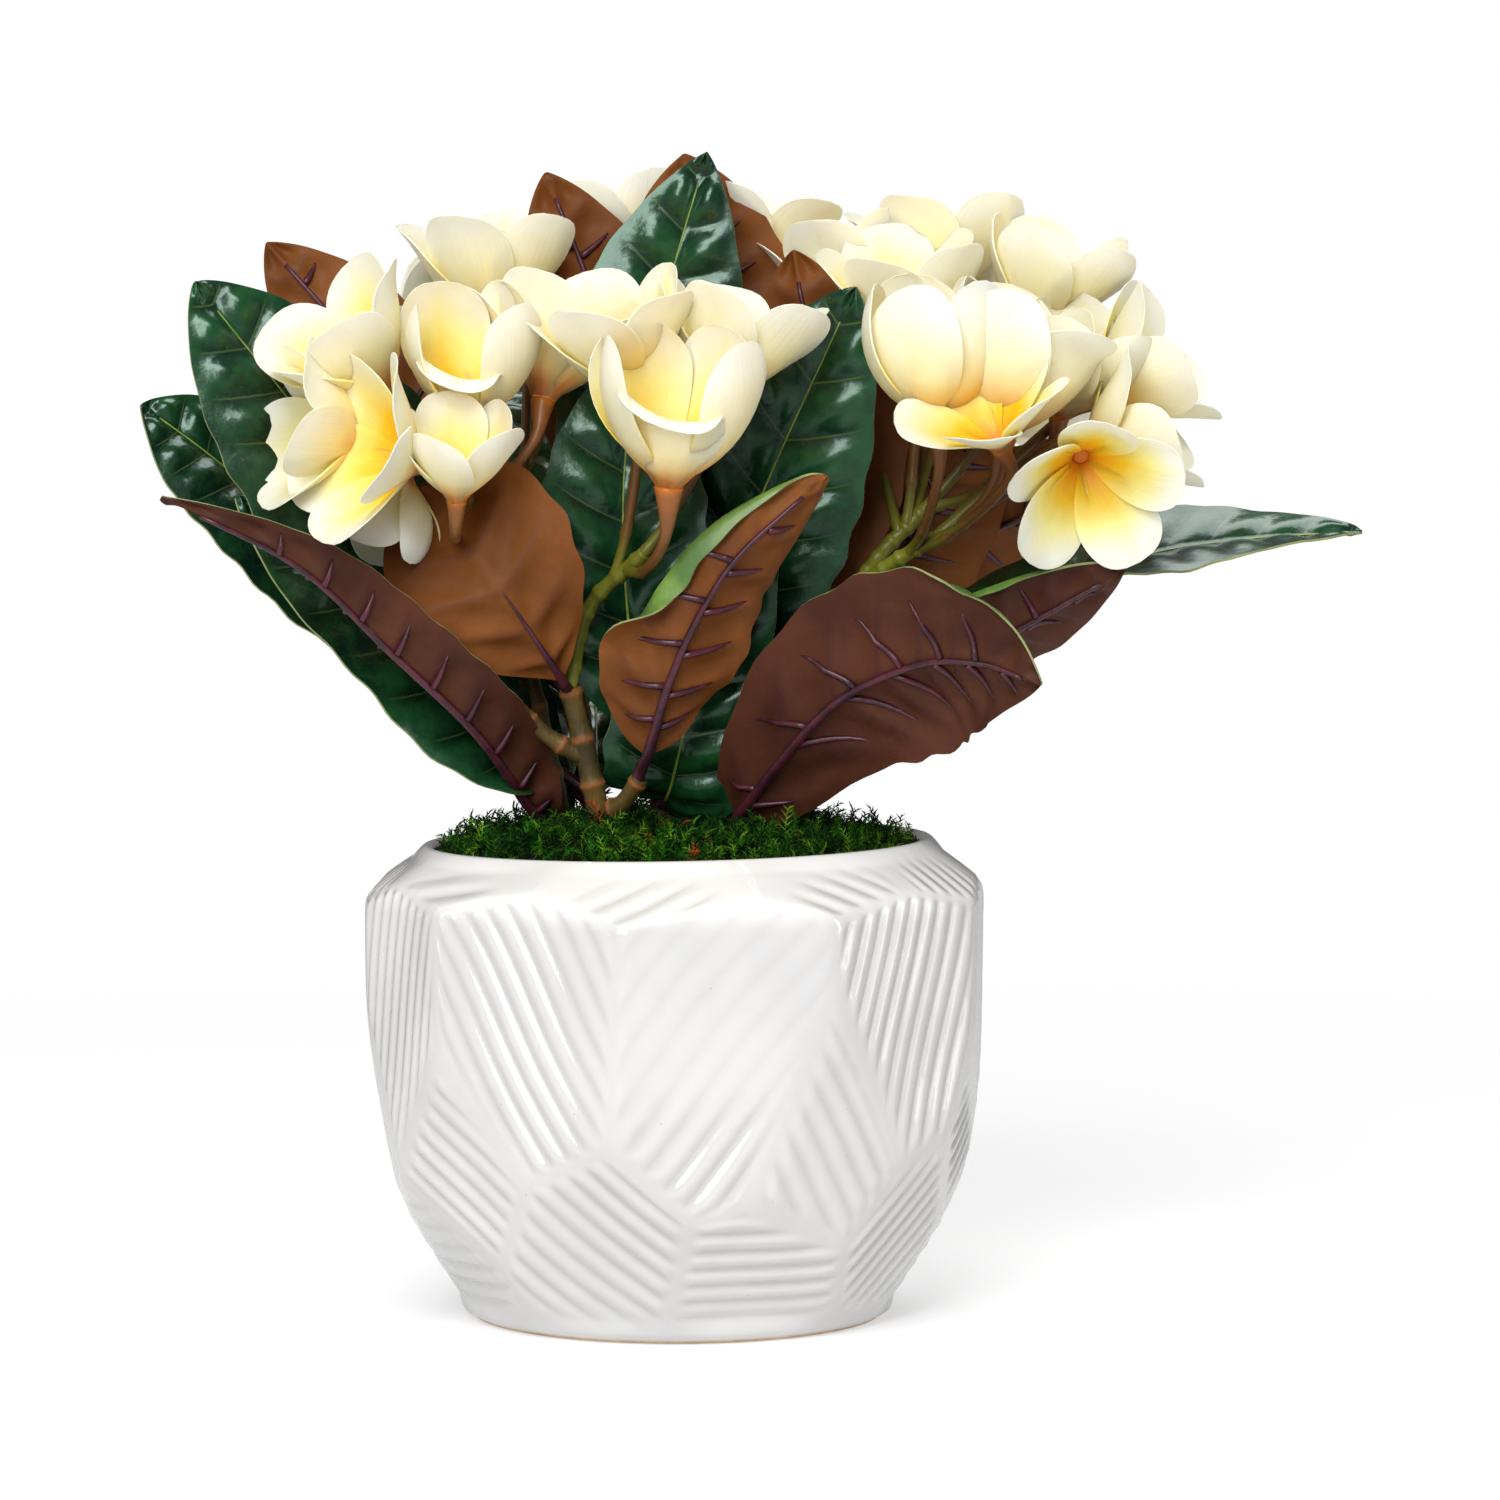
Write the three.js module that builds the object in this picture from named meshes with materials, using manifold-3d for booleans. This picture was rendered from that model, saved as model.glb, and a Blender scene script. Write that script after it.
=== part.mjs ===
// Artificial frangipani in a white faceted ceramic planter.
// Sizes are in millimetres. Z is up, the front faces -Y, and the origin is the middle of the pot's underside.
import * as THREE from 'three';
import { mergeVertices } from 'three/addons/utils/BufferGeometryUtils.js';
import Module from 'manifold-3d';

const wasm = await Module();
wasm.setup();

// Gap that pieces keep where one is seated on another
const seat = 0.3;

// Pot: a round barrel with flat faces cut on it
const footRadius = 83;
const bellyRadius = 127;
const bellyHeight = 123;
const bellyPower = 2.6;
const shoulderHeight = 172;
const rimHeight = 190.5;
const rimRadius = 103;
const rimTilt = 1;
const mouthRadius = 97.5;
const potFloor = 8;
const wallThickness = 13;
const neckHeight = 175;
const neckFlare = 8;
const cavityTop = 200;
const rimFlare = 2;
const footEdge = 1;
const footRound = 20;
const barrelProud = 4;
const facetSink = 6;
const shoulderSink = 2.5;
const shoulderMiddle = 181;
const shoulderLean = 52;
const potSides = 32;
const mouthSides = 28;

// Heights at which the barrel's outline and its inside have a ring
const barrelRings = [0, 10, 26, 46, 70, 98, bellyHeight, shoulderHeight];
const cavityRings = [potFloor, 40, 80, bellyHeight, 158];

// Facets of the wall, as [azimuth in degrees from the front, height]
const wallFacets = [
  [-65, 147], [-31, 127], [10, 107], [50, 131], [-47, 71], [31, 79],
  [-17, 35], [19, 22], [57, 43], [-84, 78], [-62, 24],
  [86, 112], [121, 138], [157, 110], [-166, 135], [-131, 112], [-99, 142],
  [78, 74], [106, 66], [141, 78], [-177, 70], [-147, 66], [-114, 74],
  [88, 24], [119, 30], [151, 34], [-178, 24], [-146, 28], [-112, 34], [-88, 30],
];

// Facets of the shoulder that slopes in to the rim, by azimuth
const shoulderFacets = [-50, -5, 37, 62, 96, 131, 168, -155, -120, -86];

// Filling and moss bed
const fillTop = 170;
const mossEdge = 187;
const mossSwell = 8;
const mossBumps = 3;
const mossRings = [1, 0.76, 0.4, 0];
const moundWidth = 17;
const moundDepth = 19;
const moundSmall = 11;

// Leaves
const leafThickness = 2.4;
const petioleWidth = 6;
const petioleThickness = 4.6;
const petioleShare = 0.12;
const petioleStart = 0.012;
const leafRows = 9;
const leafSides = 4;
const bladeRise = 0.9;
const bladeFall = 0.65;
const marginWaves = 2.2;

// Blooms: the five petals of one are a cup with a lobed rim
const petalLength = 56;
const petalThickness = 1.6;
const petalCount = 5;
const petalStart = 60;
const petalNotch = 0.84;
const petalOverlap = 2.4;
const cupRows = 4;
const cupSides = 3 * petalCount;
const cupSteps = 8;
const funnelLength = 18;
const funnelRadius = 6;
const pedicelRadius = 2.1;
const funnelFrom = 0.6;
const throatSink = 3;
const peduncleRadius = 2.9;
const firstRoot = 0.4;
const rootSpread = 0.55;

const stemFoot = fillTop + 2 * seat;
const stemSides = 6;
const stemRows = 6;
const ringSwell = 1.12;

// Stems: the route of the middle line, and the radius at the foot and at the top
const stems = [
  { name: 'front_stem', route: [[-27, -30, stemFoot], [-31, -32, 205], [-42, -34, 254]], foot: 5, top: 4 },
  { name: 'centre_stem', route: [[-8, 0, stemFoot], [-6, 0, 215], [-2, -6, 292]], foot: 5.2, top: 3.8 },
  { name: 'right_stem', route: [[20, -6, stemFoot], [30, -8, 210], [68, -12, 288]], foot: 5.2, top: 3.8 },
  { name: 'left_stem', route: [[-44, 4, stemFoot], [-50, 0, 215], [-68, -12, 296]], foot: 5, top: 3.6 },
  { name: 'back_left_stem', route: [[-30, 34, stemFoot], [-36, 42, 215], [-52, 62, 300]], foot: 5, top: 3.6 },
  { name: 'back_right_stem', route: [[22, 36, stemFoot], [32, 46, 215], [58, 64, 298]], foot: 5, top: 3.6 },
];

const branches = [
  { name: 'left_branch', on: 'front_stem', up: 0.72,
    route: [[-52, -36, 236], [-66, -38, 250]], foot: 3.6, top: 3 },
  { name: 'right_branch', on: 'front_stem', up: 0.5,
    route: [[-22, -40, 208], [-14, -46, 219]], foot: 3.8, top: 3.2 },
];

// Leaves: where one starts on its stem, the points its midrib passes, its tip, the way its upper side faces,
// its width, the fold of its halves and their bend back in degrees, and the wave of its margin
const leaves = [
  { name: 'leaf_left_long', on: 'left_stem', up: 0.42, tip: [-196, -105, 332],
    via: [[-52, -16, 205], [-73, -50, 238], [-107, -75, 271], [-144, -92, 305]],
    face: [0.35, 0.55, 0.75], wide: 48, fold: 60, bend: 10, wave: 2.5 },
  { name: 'leaf_left_inner', on: 'left_stem', up: 0.5, tip: [-172, -48, 330],
    via: [[-66, -20, 228], [-112, -38, 276]],
    face: [0.2, -0.8, 0.6], wide: 62, fold: 12, bend: 10, wave: 2 },
  { name: 'leaf_left_low', on: 'left_stem', up: 0.56, tip: [-211, -28, 366],
    via: [[-80, 2, 246], [-135, -8, 300], [-178, -20, 340]],
    face: [0.35, -0.8, 0.5], wide: 66, fold: 12, bend: 20, wave: 2 },
  { name: 'leaf_left_high', on: 'left_stem', up: 0.68, tip: [-189, -38, 414],
    via: [[-82, -14, 268], [-135, -32, 345]],
    face: [0.3, -0.9, 0.3], wide: 88, fold: 12, bend: 20, wave: 2 },
  { name: 'leaf_left_back', on: 'left_stem', up: 0.78, tip: [-166, 34, 430],
    via: [[-78, 14, 300], [-120, 28, 375]],
    face: [-0.3, 0.9, 0.3], wide: 62, fold: 14, bend: 10, wave: 2 },
  { name: 'leaf_front_brown', on: 'front_stem', up: 0.97, tip: [-100, -48, 334],
    via: [[-52, -54, 270], [-72, -68, 300]],
    face: [-0.25, 0.9, 0.35], wide: 76, fold: 10, bend: 20, wave: 1.5 },
  { name: 'leaf_top', on: 'centre_stem', up: 0.86, tip: [12, 8, 466],
    via: [[-12, 2, 330], [-8, 6, 392]],
    face: [0, -1, 0.15], wide: 76, fold: 14, bend: 20, wave: 1.5 },
  { name: 'leaf_top_back', on: 'centre_stem', up: 0.8, tip: [3, 38, 466],
    via: [[6, 22, 330], [10, 34, 400]],
    face: [0.1, 1, 0.1], wide: 84, fold: 14, bend: 10, wave: 1.5 },
  { name: 'leaf_top_left', on: 'centre_stem', up: 0.74, tip: [-53, 22, 458],
    via: [[-18, 12, 320], [-30, 18, 395]],
    face: [-0.1, 1, 0], wide: 62, fold: 14, bend: 10, wave: 1.5 },
  { name: 'leaf_right_high', on: 'centre_stem', up: 0.58, tip: [71, -30, 412],
    via: [[8, -6, 262], [34, -16, 330]],
    face: [-0.1, -1, 0.2], wide: 82, fold: 12, bend: 20, wave: 2 },
  { name: 'leaf_right_high_back', on: 'centre_stem', up: 0.66, tip: [47, 22, 427],
    via: [[24, 8, 275], [56, 18, 350]],
    face: [0.2, 1, 0.1], wide: 76, fold: 14, bend: 10, wave: 2 },
  { name: 'leaf_centre_brown', on: 'right_branch', up: 0.9, tip: [59, -76, 339],
    via: [[-9, -58, 238], [-3, -68, 258], [9, -74, 285], [26, -78, 310]],
    face: [-0.2, 0.9, 0.3], wide: 62, fold: 14, bend: -20, wave: 2 },
  { name: 'leaf_behind_stalks', on: 'centre_stem', up: 0.5, tip: [-16, -22, 388],
    via: [[-17, -20, 262], [-21, -28, 325]],
    face: [0, -1, 0.1], wide: 68, fold: 12, bend: 10, wave: 2 },
  { name: 'leaf_centre_low', on: 'centre_stem', up: 0.4, tip: [36, -40, 330],
    via: [[-2, -22, 215], [10, -34, 262]],
    face: [0.1, -1, 0.2], wide: 60, fold: 12, bend: 10, wave: 2 },
  { name: 'leaf_right_brown', on: 'right_stem', up: 0.42, tip: [138, -112, 254],
    via: [[27, -26, 206], [60, -62, 248], [92, -86, 268], [120, -102, 276]],
    face: [0.3, 0.85, 0.4], wide: 80, fold: 10, bend: 10, wave: 2 },
  { name: 'leaf_right_dark', on: 'right_stem', up: 0.5, tip: [175, -66, 303],
    via: [[70, -28, 240], [120, -50, 270]],
    face: [-0.1, 0.75, 0.65], wide: 58, fold: 20, bend: 10, wave: 2 },
  { name: 'leaf_far_right', on: 'right_stem', up: 0.64, tip: [274, 0, 315],
    via: [[84, 8, 255], [150, 14, 293], [210, 10, 309]],
    face: [-0.1, -0.35, 0.94], wide: 62, fold: 14, bend: 10, wave: 3 },
  { name: 'leaf_far_right_back', on: 'back_right_stem', up: 0.6, tip: [200, 52, 331],
    via: [[90, 66, 290], [150, 64, 322]],
    face: [0, 0.9, 0.4], wide: 60, fold: 14, bend: 10, wave: 2 },
  { name: 'leaf_right_inner', on: 'back_right_stem', up: 0.72, tip: [128, 44, 360],
    via: [[88, 46, 300]],
    face: [-0.2, 1, 0.1], wide: 66, fold: 14, bend: 10, wave: 2 },
  { name: 'leaf_left_under', on: 'back_left_stem', up: 0.4, tip: [-165, 70, 318],
    via: [[-70, 40, 240], [-120, 56, 284]],
    face: [0.2, -0.8, 0.5], wide: 64, fold: 12, bend: 10, wave: 2 },
];

// Leaves of the back: azimuth in degrees from +Y towards +X, how far out and how far up each tip lies
const backLeaves = [
  { azimuth: -64, out: 104, up: 62, start: 0.26 },
  { azimuth: -42, out: 150, up: 84, start: 0.34 },
  { azimuth: -22, out: 150, up: 108, start: 0.52 },
  { azimuth: -2, out: 150, up: 72, start: 0.3 },
  { azimuth: 20, out: 150, up: 104, start: 0.5 },
  { azimuth: 46, out: 146, up: 84, start: 0.34 },
  { azimuth: 100, out: 104, up: 54, start: 0.36 },
  { azimuth: -60, out: 128, up: 112, start: 0.66 },
  { azimuth: -8, out: 146, up: 128, start: 0.7 },
  { azimuth: 38, out: 146, up: 118, start: 0.66 },
];
const backLeafShape = { wide: 72, fold: 14, bend: 20, wave: 2.5 };
const backLeafRoute = [[0.3, 0.42], [0.64, 0.8], [1, 1]];

// Flower heads: each grows on from a stem's top through its knee to the fork, and then to its blooms.
// A bloom has its throat, the way it looks, how far its petals open in degrees and its size
const heads = [
  { name: 'flowers_left', on: 'left_stem', knee: [-82, -34, 312], fork: [-88, -46, 322], blooms: [
    { at: [-112, -56, 371], aim: [-0.6, -0.3, 0.75], open: 20, size: 1 },
    { at: [-80, -60, 360], aim: [0, -0.3, 1], open: -4, size: 1 },
    { at: [-119, -62, 353], aim: [-0.95, -0.3, 0.2], open: 24, size: 0.9 },
    { at: [-98, -84, 344], aim: [-0.8, -0.5, -0.1], open: 40, size: 0.95 },
    { at: [-84, -88, 330], aim: [0.05, -0.4, 0.9], open: 10, size: 0.8 },
    { at: [-74, 4, 395], aim: [-0.05, 0.1, 1], open: 16, size: 1 },
    { at: [-52, -42, 368], aim: [0.2, 0.3, 0.9], open: 30, size: 1 },
    { at: [-106, -50, 338], aim: [-0.25, -0.2, -0.9], open: 0, size: 0.7 },
  ] },
  { name: 'flowers_centre', on: 'front_stem', knee: [-34, -36, 286], fork: [-12, -52, 308], blooms: [
    { at: [-18, -60, 370], aim: [-0.2, -0.25, 0.95], open: 16, size: 1 },
    { at: [-2, -96, 336], aim: [0.08, -0.2, 1], open: -6, size: 1.2 },
    { at: [18, -54, 368], aim: [0.25, 0, 1], open: 14, size: 1 },
  ] },
  { name: 'flowers_right_front', on: 'right_stem', knee: [84, -26, 302], fork: [104, -36, 314], blooms: [
    { at: [102, -62, 360], aim: [-0.05, -0.1, 1], open: -8, size: 1.1 },
    { at: [128, -56, 354], aim: [0.2, -0.05, 1], open: -4, size: 1.15 },
    { at: [134, -76, 346], aim: [0.1, -0.8, 0.5], open: 66, size: 0.8 },
    { at: [160, -46, 346], aim: [0.85, -0.3, 0.35], open: 26, size: 0.9 },
    { at: [152, -58, 340], aim: [0.1, -0.7, -0.7], open: 36, size: 0.9 },
    { at: [166, -16, 368], aim: [0.8, -0.1, 0.5], open: 20, size: 0.95 },
  ] },
  { name: 'flowers_right_top', on: 'right_stem', knee: [82, 4, 306], fork: [100, 6, 324], blooms: [
    { at: [65, 26, 396], aim: [-0.5, -0.1, 0.85], open: 20, size: 1 },
    { at: [88, -24, 386], aim: [-0.25, -0.2, 0.9], open: 14, size: 1 },
    { at: [108, 36, 405], aim: [-0.05, 0.1, 1], open: 24, size: 1 },
    { at: [142, 6, 392], aim: [0.25, -0.1, 0.95], open: 10, size: 1 },
    { at: [152, -22, 362], aim: [0.3, -0.3, 0.9], open: 4, size: 0.9 },
  ] },
  { name: 'flowers_back_left', on: 'back_left_stem', knee: [-60, 76, 316], fork: [-68, 84, 330], blooms: [
    { at: [-102, 68, 374], aim: [-0.6, -0.1, 0.8], open: 20, size: 1 },
    { at: [-62, 66, 396], aim: [0, -0.1, 1], open: 16, size: 1 },
    { at: [-98, 110, 360], aim: [-0.5, 0.6, 0.6], open: 24, size: 1 },
    { at: [-54, 118, 374], aim: [0.1, 0.6, 0.8], open: 22, size: 1 },
  ] },
  { name: 'flowers_back_centre', on: 'centre_stem', knee: [-4, 24, 306], fork: [-2, 56, 334], blooms: [
    { at: [-24, 66, 411], aim: [-0.15, 0, 1], open: 12, size: 1 },
    { at: [26, 68, 409], aim: [0.15, 0, 1], open: 14, size: 1 },
    { at: [4, 96, 378], aim: [0, 0.65, 0.8], open: 24, size: 1 },
  ] },
  { name: 'flowers_back_right', on: 'back_right_stem', knee: [68, 76, 314], fork: [78, 84, 328], blooms: [
    { at: [72, 84, 394], aim: [-0.2, 0.1, 1], open: 20, size: 1 },
    { at: [114, 76, 384], aim: [0.4, 0, 0.9], open: 20, size: 1 },
    { at: [120, 112, 358], aim: [0.6, 0.6, 0.5], open: 24, size: 1 },
    { at: [70, 126, 368], aim: [-0.1, 0.7, 0.7], open: 24, size: 1 },
  ] },
];

const finishes = {
  glaze: { color: 0xf2f1ee, roughness: 0.12, metalness: 0 },
  filling: { color: 0x6d6a5c, roughness: 0.95, metalness: 0 },
  moss: { color: 0x4a6e22, roughness: 0.95, metalness: 0 },
  stem: { color: 0x7d5f2f, roughness: 0.6, metalness: 0 },
  leafUpper: { color: 0x1d4a30, roughness: 0.35, metalness: 0 },
  leafUnder: { color: 0x74492a, roughness: 0.6, metalness: 0 },
  petal: { color: 0xf7f2cf, roughness: 0.6, metalness: 0 },
};

const upward = new THREE.Vector3(0, 0, 1);

function vector(point) {
  return new THREE.Vector3(...point);
}

function radians(degrees) {
  return THREE.MathUtils.degToRad(degrees);
}

// Joins the seams of a geometry, drops its collapsed faces and points the rest outwards
function closedMesh(geometry) {
  const bare = geometry.clone();
  bare.deleteAttribute('normal');
  bare.deleteAttribute('uv');
  const merged = mergeVertices(bare, 1e-4);
  const corners = merged.index.array;
  const kept = [];
  for (let i = 0; i < corners.length; i += 3) {
    const [a, b, c] = [corners[i], corners[i + 1], corners[i + 2]];
    if (a !== b && b !== c && c !== a) {
      kept.push(a, b, c);
    }
  }
  merged.setIndex(kept);
  if (signedVolume(merged) < 0) {
    const turned = [];
    for (let i = 0; i < kept.length; i += 3) {
      turned.push(kept[i], kept[i + 2], kept[i + 1]);
    }
    merged.setIndex(turned);
  }
  return merged;
}

function signedVolume(geometry) {
  const places = geometry.attributes.position;
  const corners = geometry.index.array;
  const a = new THREE.Vector3();
  const b = new THREE.Vector3();
  const c = new THREE.Vector3();
  let sum = 0;
  for (let i = 0; i < corners.length; i += 3) {
    a.fromBufferAttribute(places, corners[i]);
    b.fromBufferAttribute(places, corners[i + 1]);
    c.fromBufferAttribute(places, corners[i + 2]);
    sum += a.dot(b.cross(c)) / 6;
  }
  return sum;
}

function solidOf(geometry) {
  const mesh = closedMesh(geometry);
  const vertProperties = new Float32Array(mesh.attributes.position.array);
  const triVerts = new Uint32Array(mesh.index.array);
  return new wasm.Manifold(new wasm.Mesh({ numProp: 3, vertProperties, triVerts }));
}

function geometryOf(solid) {
  const mesh = solid.getMesh();
  const geometry = new THREE.BufferGeometry();
  geometry.setAttribute('position', new THREE.BufferAttribute(new Float32Array(mesh.vertProperties), 3));
  geometry.setIndex(new THREE.BufferAttribute(new Uint32Array(mesh.triVerts), 1));
  return geometry;
}

// Moves every vertex of a geometry to the place that a function gives for it
function reshape(geometry, place) {
  const places = geometry.attributes.position;
  const from = new THREE.Vector3();
  for (let i = 0; i < places.count; i += 1) {
    from.fromBufferAttribute(places, i);
    const to = place(from);
    places.setXYZ(i, to.x, to.y, to.z);
  }
  return geometry;
}

function routeThrough(points) {
  return new THREE.CatmullRomCurve3(points, false, 'catmullrom', 0.5);
}

function sideways(direction, reference) {
  return reference.clone().addScaledVector(direction, -reference.dot(direction)).normalize();
}

// A round limb along a route, whose radius is a function of the share of its length
function limb(route, radiusAt, sides, rows, grow) {
  const curve = routeThrough(route);
  const reference = new THREE.Vector3(0.2, 1, 0.1);
  return reshape(new THREE.CylinderGeometry(1, 1, 1, sides, rows), (from) => {
    const share = from.y + 0.5;
    const tangent = curve.getTangent(share);
    const across = sideways(tangent, reference);
    const other = new THREE.Vector3().crossVectors(tangent, across);
    const radius = radiusAt(share) + grow;
    return curve.getPoint(share)
      .addScaledVector(tangent, (share < 0.5 ? -grow : grow) * (share === 0 || share === 1 ? 1 : 0))
      .addScaledVector(across, from.x * radius)
      .addScaledVector(other, from.z * radius);
  });
}

function barrelRadius(height) {
  const below = Math.max(0, 1 - height / bellyHeight);
  return bellyRadius - (bellyRadius - footRadius) * below ** bellyPower;
}

function barrelLean(height) {
  const below = Math.max(0, 1 - height / bellyHeight);
  const slope = ((bellyRadius - footRadius) * bellyPower / bellyHeight) * below ** (bellyPower - 1);
  return -THREE.MathUtils.radToDeg(Math.atan(slope));
}

// A block that lies outside a flat face of the pot
function outsideFacet(azimuth, lean, radius, height) {
  const turn = radians(azimuth);
  const tilt = radians(lean);
  const normal = new THREE.Vector3(
    Math.cos(tilt) * Math.sin(turn), -Math.cos(tilt) * Math.cos(turn), Math.sin(tilt));
  const size = 4 * bellyRadius;
  const block = new THREE.BoxGeometry(size, size, size);
  block.translate(0, 0, size / 2);
  block.applyQuaternion(new THREE.Quaternion().setFromUnitVectors(upward, normal));
  block.translate(radius * Math.sin(turn), -radius * Math.cos(turn), height);
  return solidOf(block);
}

function turned(profile, sides) {
  const points = profile.map(([radius, height]) => new THREE.Vector2(radius, height));
  return new THREE.LatheGeometry(points, sides).rotateX(Math.PI / 2);
}

function potSolid() {
  const outline = barrelRings.map((height) => {
    const proud = height === 0 ? -footEdge : barrelProud * Math.min(1, height / footRound);
    return [barrelRadius(height) + proud, height];
  });
  outline.push([rimRadius + rimFlare, rimHeight - 1], [rimRadius - 1, rimHeight + rimFlare]);
  let body = solidOf(turned([[0, 0], ...outline, [0, rimHeight + rimFlare]], potSides));
  for (const [azimuth, height] of wallFacets) {
    const radius = barrelRadius(height) - facetSink;
    body = body.subtract(outsideFacet(azimuth, barrelLean(height), radius, height));
  }
  const shoulderRadius = (bellyRadius + rimRadius) / 2 - shoulderSink;
  for (const azimuth of shoulderFacets) {
    body = body.subtract(outsideFacet(azimuth, shoulderLean, shoulderRadius, shoulderMiddle));
  }
  body = body.subtract(outsideFacet(-90, 90 - rimTilt, 0, rimHeight));
  return body.subtract(solidOf(turned(cavityProfile(0), mouthSides)));
}

// The inside of the pot, or what fills it when it is drawn in by a gap
function cavityProfile(gap) {
  const wall = cavityRings.map((height) => {
    const lift = height === potFloor ? gap : 0;
    return [barrelRadius(height) - wallThickness - gap, height + lift];
  });
  const mouth = mouthRadius - gap;
  const neck = [[mouth + neckFlare, neckHeight], [mouth, mossEdge], [mouth, cavityTop]];
  return [[0, potFloor + gap], ...wall, ...neck, [0, cavityTop]];
}

function fillSolid() {
  const block = outsideFacet(0, 90, 0, fillTop);
  return solidOf(turned(cavityProfile(seat), mouthSides)).subtract(block);
}

// Low mounds of moss that swell above the rim
function mossSolid() {
  const edge = mouthRadius - seat;
  const foot = fillTop + seat;
  const profile = [[0, foot], [edge, foot], ...mossRings.map((share) => [edge * share, mossEdge])];
  const bed = reshape(turned(profile, mouthSides), (from) => {
    if (from.z < mossEdge - 1) {
      return from;
    }
    const inwards = 1 - Math.hypot(from.x, from.y) / edge;
    const broad = Math.sin(from.x / moundWidth + 1) * Math.cos(from.y / moundDepth);
    const mound = broad + Math.sin((from.x - from.y) / moundSmall) / 2;
    const swell = mossSwell * Math.min(1, inwards * 3) + mossBumps * mound * Math.min(1, inwards * 5);
    return new THREE.Vector3(from.x, from.y, mossEdge + swell);
  });
  return solidOf(bed);
}

// A stem swells at every other ring
function stemSolid(stem, grow) {
  const radiusAt = (share) => {
    const taper = THREE.MathUtils.lerp(stem.foot, stem.top, share);
    return Math.round(share * stemRows) % 2 === 1 ? taper * ringSwell : taper;
  };
  return solidOf(limb(stem.points, radiusAt, stemSides, stemRows, grow));
}

// Half the width of a leaf's blade, as a share of its full half, from the petiole to the tip
function leafShape(share) {
  const widest = bladeRise / (bladeRise + bladeFall);
  const full = widest ** bladeRise * (1 - widest) ** bladeFall;
  return (share ** bladeRise * (1 - share) ** bladeFall) / full;
}

function leafSolid(leaf, grow) {
  const curve = routeThrough([leaf.start, ...leaf.via.map(vector), vector(leaf.tip)]);
  const face = vector(leaf.face).normalize();
  return solidOf(reshape(new THREE.SphereGeometry(1, leafSides, leafRows), (from) => {
    const row = Math.round((Math.acos(THREE.MathUtils.clamp(from.y, -1, 1)) / Math.PI) * leafRows);
    const atEnd = row === 0 || row === leafRows;
    const ringSize = Math.sin((row * Math.PI) / leafRows);
    const side = atEnd ? 0 : Math.round(from.x / ringSize);
    const rise = atEnd ? 0 : Math.round(from.z / ringSize);
    const bladeShare = (row - 2) / (leafRows - 2);
    const share = row < 2 ? row * petioleStart : THREE.MathUtils.lerp(petioleShare, 1, bladeShare);
    const blade = Math.max(0, bladeShare);
    const tangent = curve.getTangent(share);
    const upperSide = sideways(tangent, face);
    const across = new THREE.Vector3().crossVectors(tangent, upperSide);
    const half = Math.max((petioleWidth / 2) * (1 - blade), (leaf.wide / 2) * leafShape(blade));
    const angle = side * side * radians(leaf.fold - leaf.bend / 2) * Math.min(1, blade * 6);
    const along = across.clone().multiplyScalar(side * Math.cos(angle))
      .addScaledVector(upperSide, Math.sin(angle));
    const normal = upperSide.clone().multiplyScalar(Math.cos(angle))
      .addScaledVector(across, -side * Math.sin(angle));
    const wave = leaf.wave * side * side * Math.sin(Math.PI * blade);
    const ripple = wave * Math.sin(2 * Math.PI * marginWaves * blade + side);
    const thick = THREE.MathUtils.lerp(petioleThickness, leafThickness, Math.min(1, blade * 4));
    return curve.getPoint(share)
      .addScaledVector(tangent, row === leafRows ? grow : 0)
      .addScaledVector(along, Math.abs(side) * (half + grow))
      .addScaledVector(normal, ripple + rise * (thick / 2 + grow));
  }));
}

// The five petals as one cup: its outer wall runs up to the lobed rim, and its inner wall down to the throat
function cupSolid(bloom, frame, grow) {
  const { axis, first, second, throat } = frame;
  const length = petalLength * bloom.size;
  const opening = (share) => radians(THREE.MathUtils.lerp(petalStart, bloom.open, share));
  return solidOf(reshape(new THREE.SphereGeometry(1, cupSides, cupRows), (from) => {
    const row = Math.round((Math.acos(THREE.MathUtils.clamp(from.y, -1, 1)) / Math.PI) * cupRows);
    const wall = Math.sign(row - cupRows / 2);
    const share = 1 - Math.abs(row - cupRows / 2) / (cupRows / 2);
    const inside = share === 0 ? 0 : 1;
    const turn = Math.atan2(from.z, -from.x);
    const third = (Math.round((turn * cupSides) / (2 * Math.PI)) + cupSides) % 3;
    const notch = third === 0 ? (1 - petalNotch) * share : 0;
    const reach = length * share * (1 - notch) + (share === 1 ? grow : 0);
    const outward = first.clone().multiplyScalar(Math.cos(turn)).addScaledVector(second, Math.sin(turn));
    const place = throat.clone();
    for (let step = 0; step < cupSteps; step += 1) {
      const angle = opening((share * (step + 0.5)) / cupSteps);
      place.addScaledVector(outward, (Math.sin(angle) * reach) / cupSteps);
      place.addScaledVector(axis, (Math.cos(angle) * reach) / cupSteps);
    }
    const angle = opening(share);
    const inward = axis.clone().multiplyScalar(Math.sin(angle)).addScaledVector(outward, -Math.cos(angle));
    const overlap = (third === 1 ? petalOverlap : 0) - (third === 2 ? petalOverlap : 0);
    return place
      .addScaledVector(inward, inside * (share * overlap + wall * (petalThickness / 2 + grow)))
      .addScaledVector(axis, (1 - inside) * wall * (1 + grow));
  }));
}

function bloomFrame(bloom) {
  const axis = vector(bloom.aim).normalize();
  const first = sideways(axis, Math.abs(axis.z) > 0.8 ? new THREE.Vector3(0.3, -1, 0) : upward);
  const second = new THREE.Vector3().crossVectors(axis, first);
  return { axis, first, second, throat: vector(bloom.at) };
}

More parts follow.
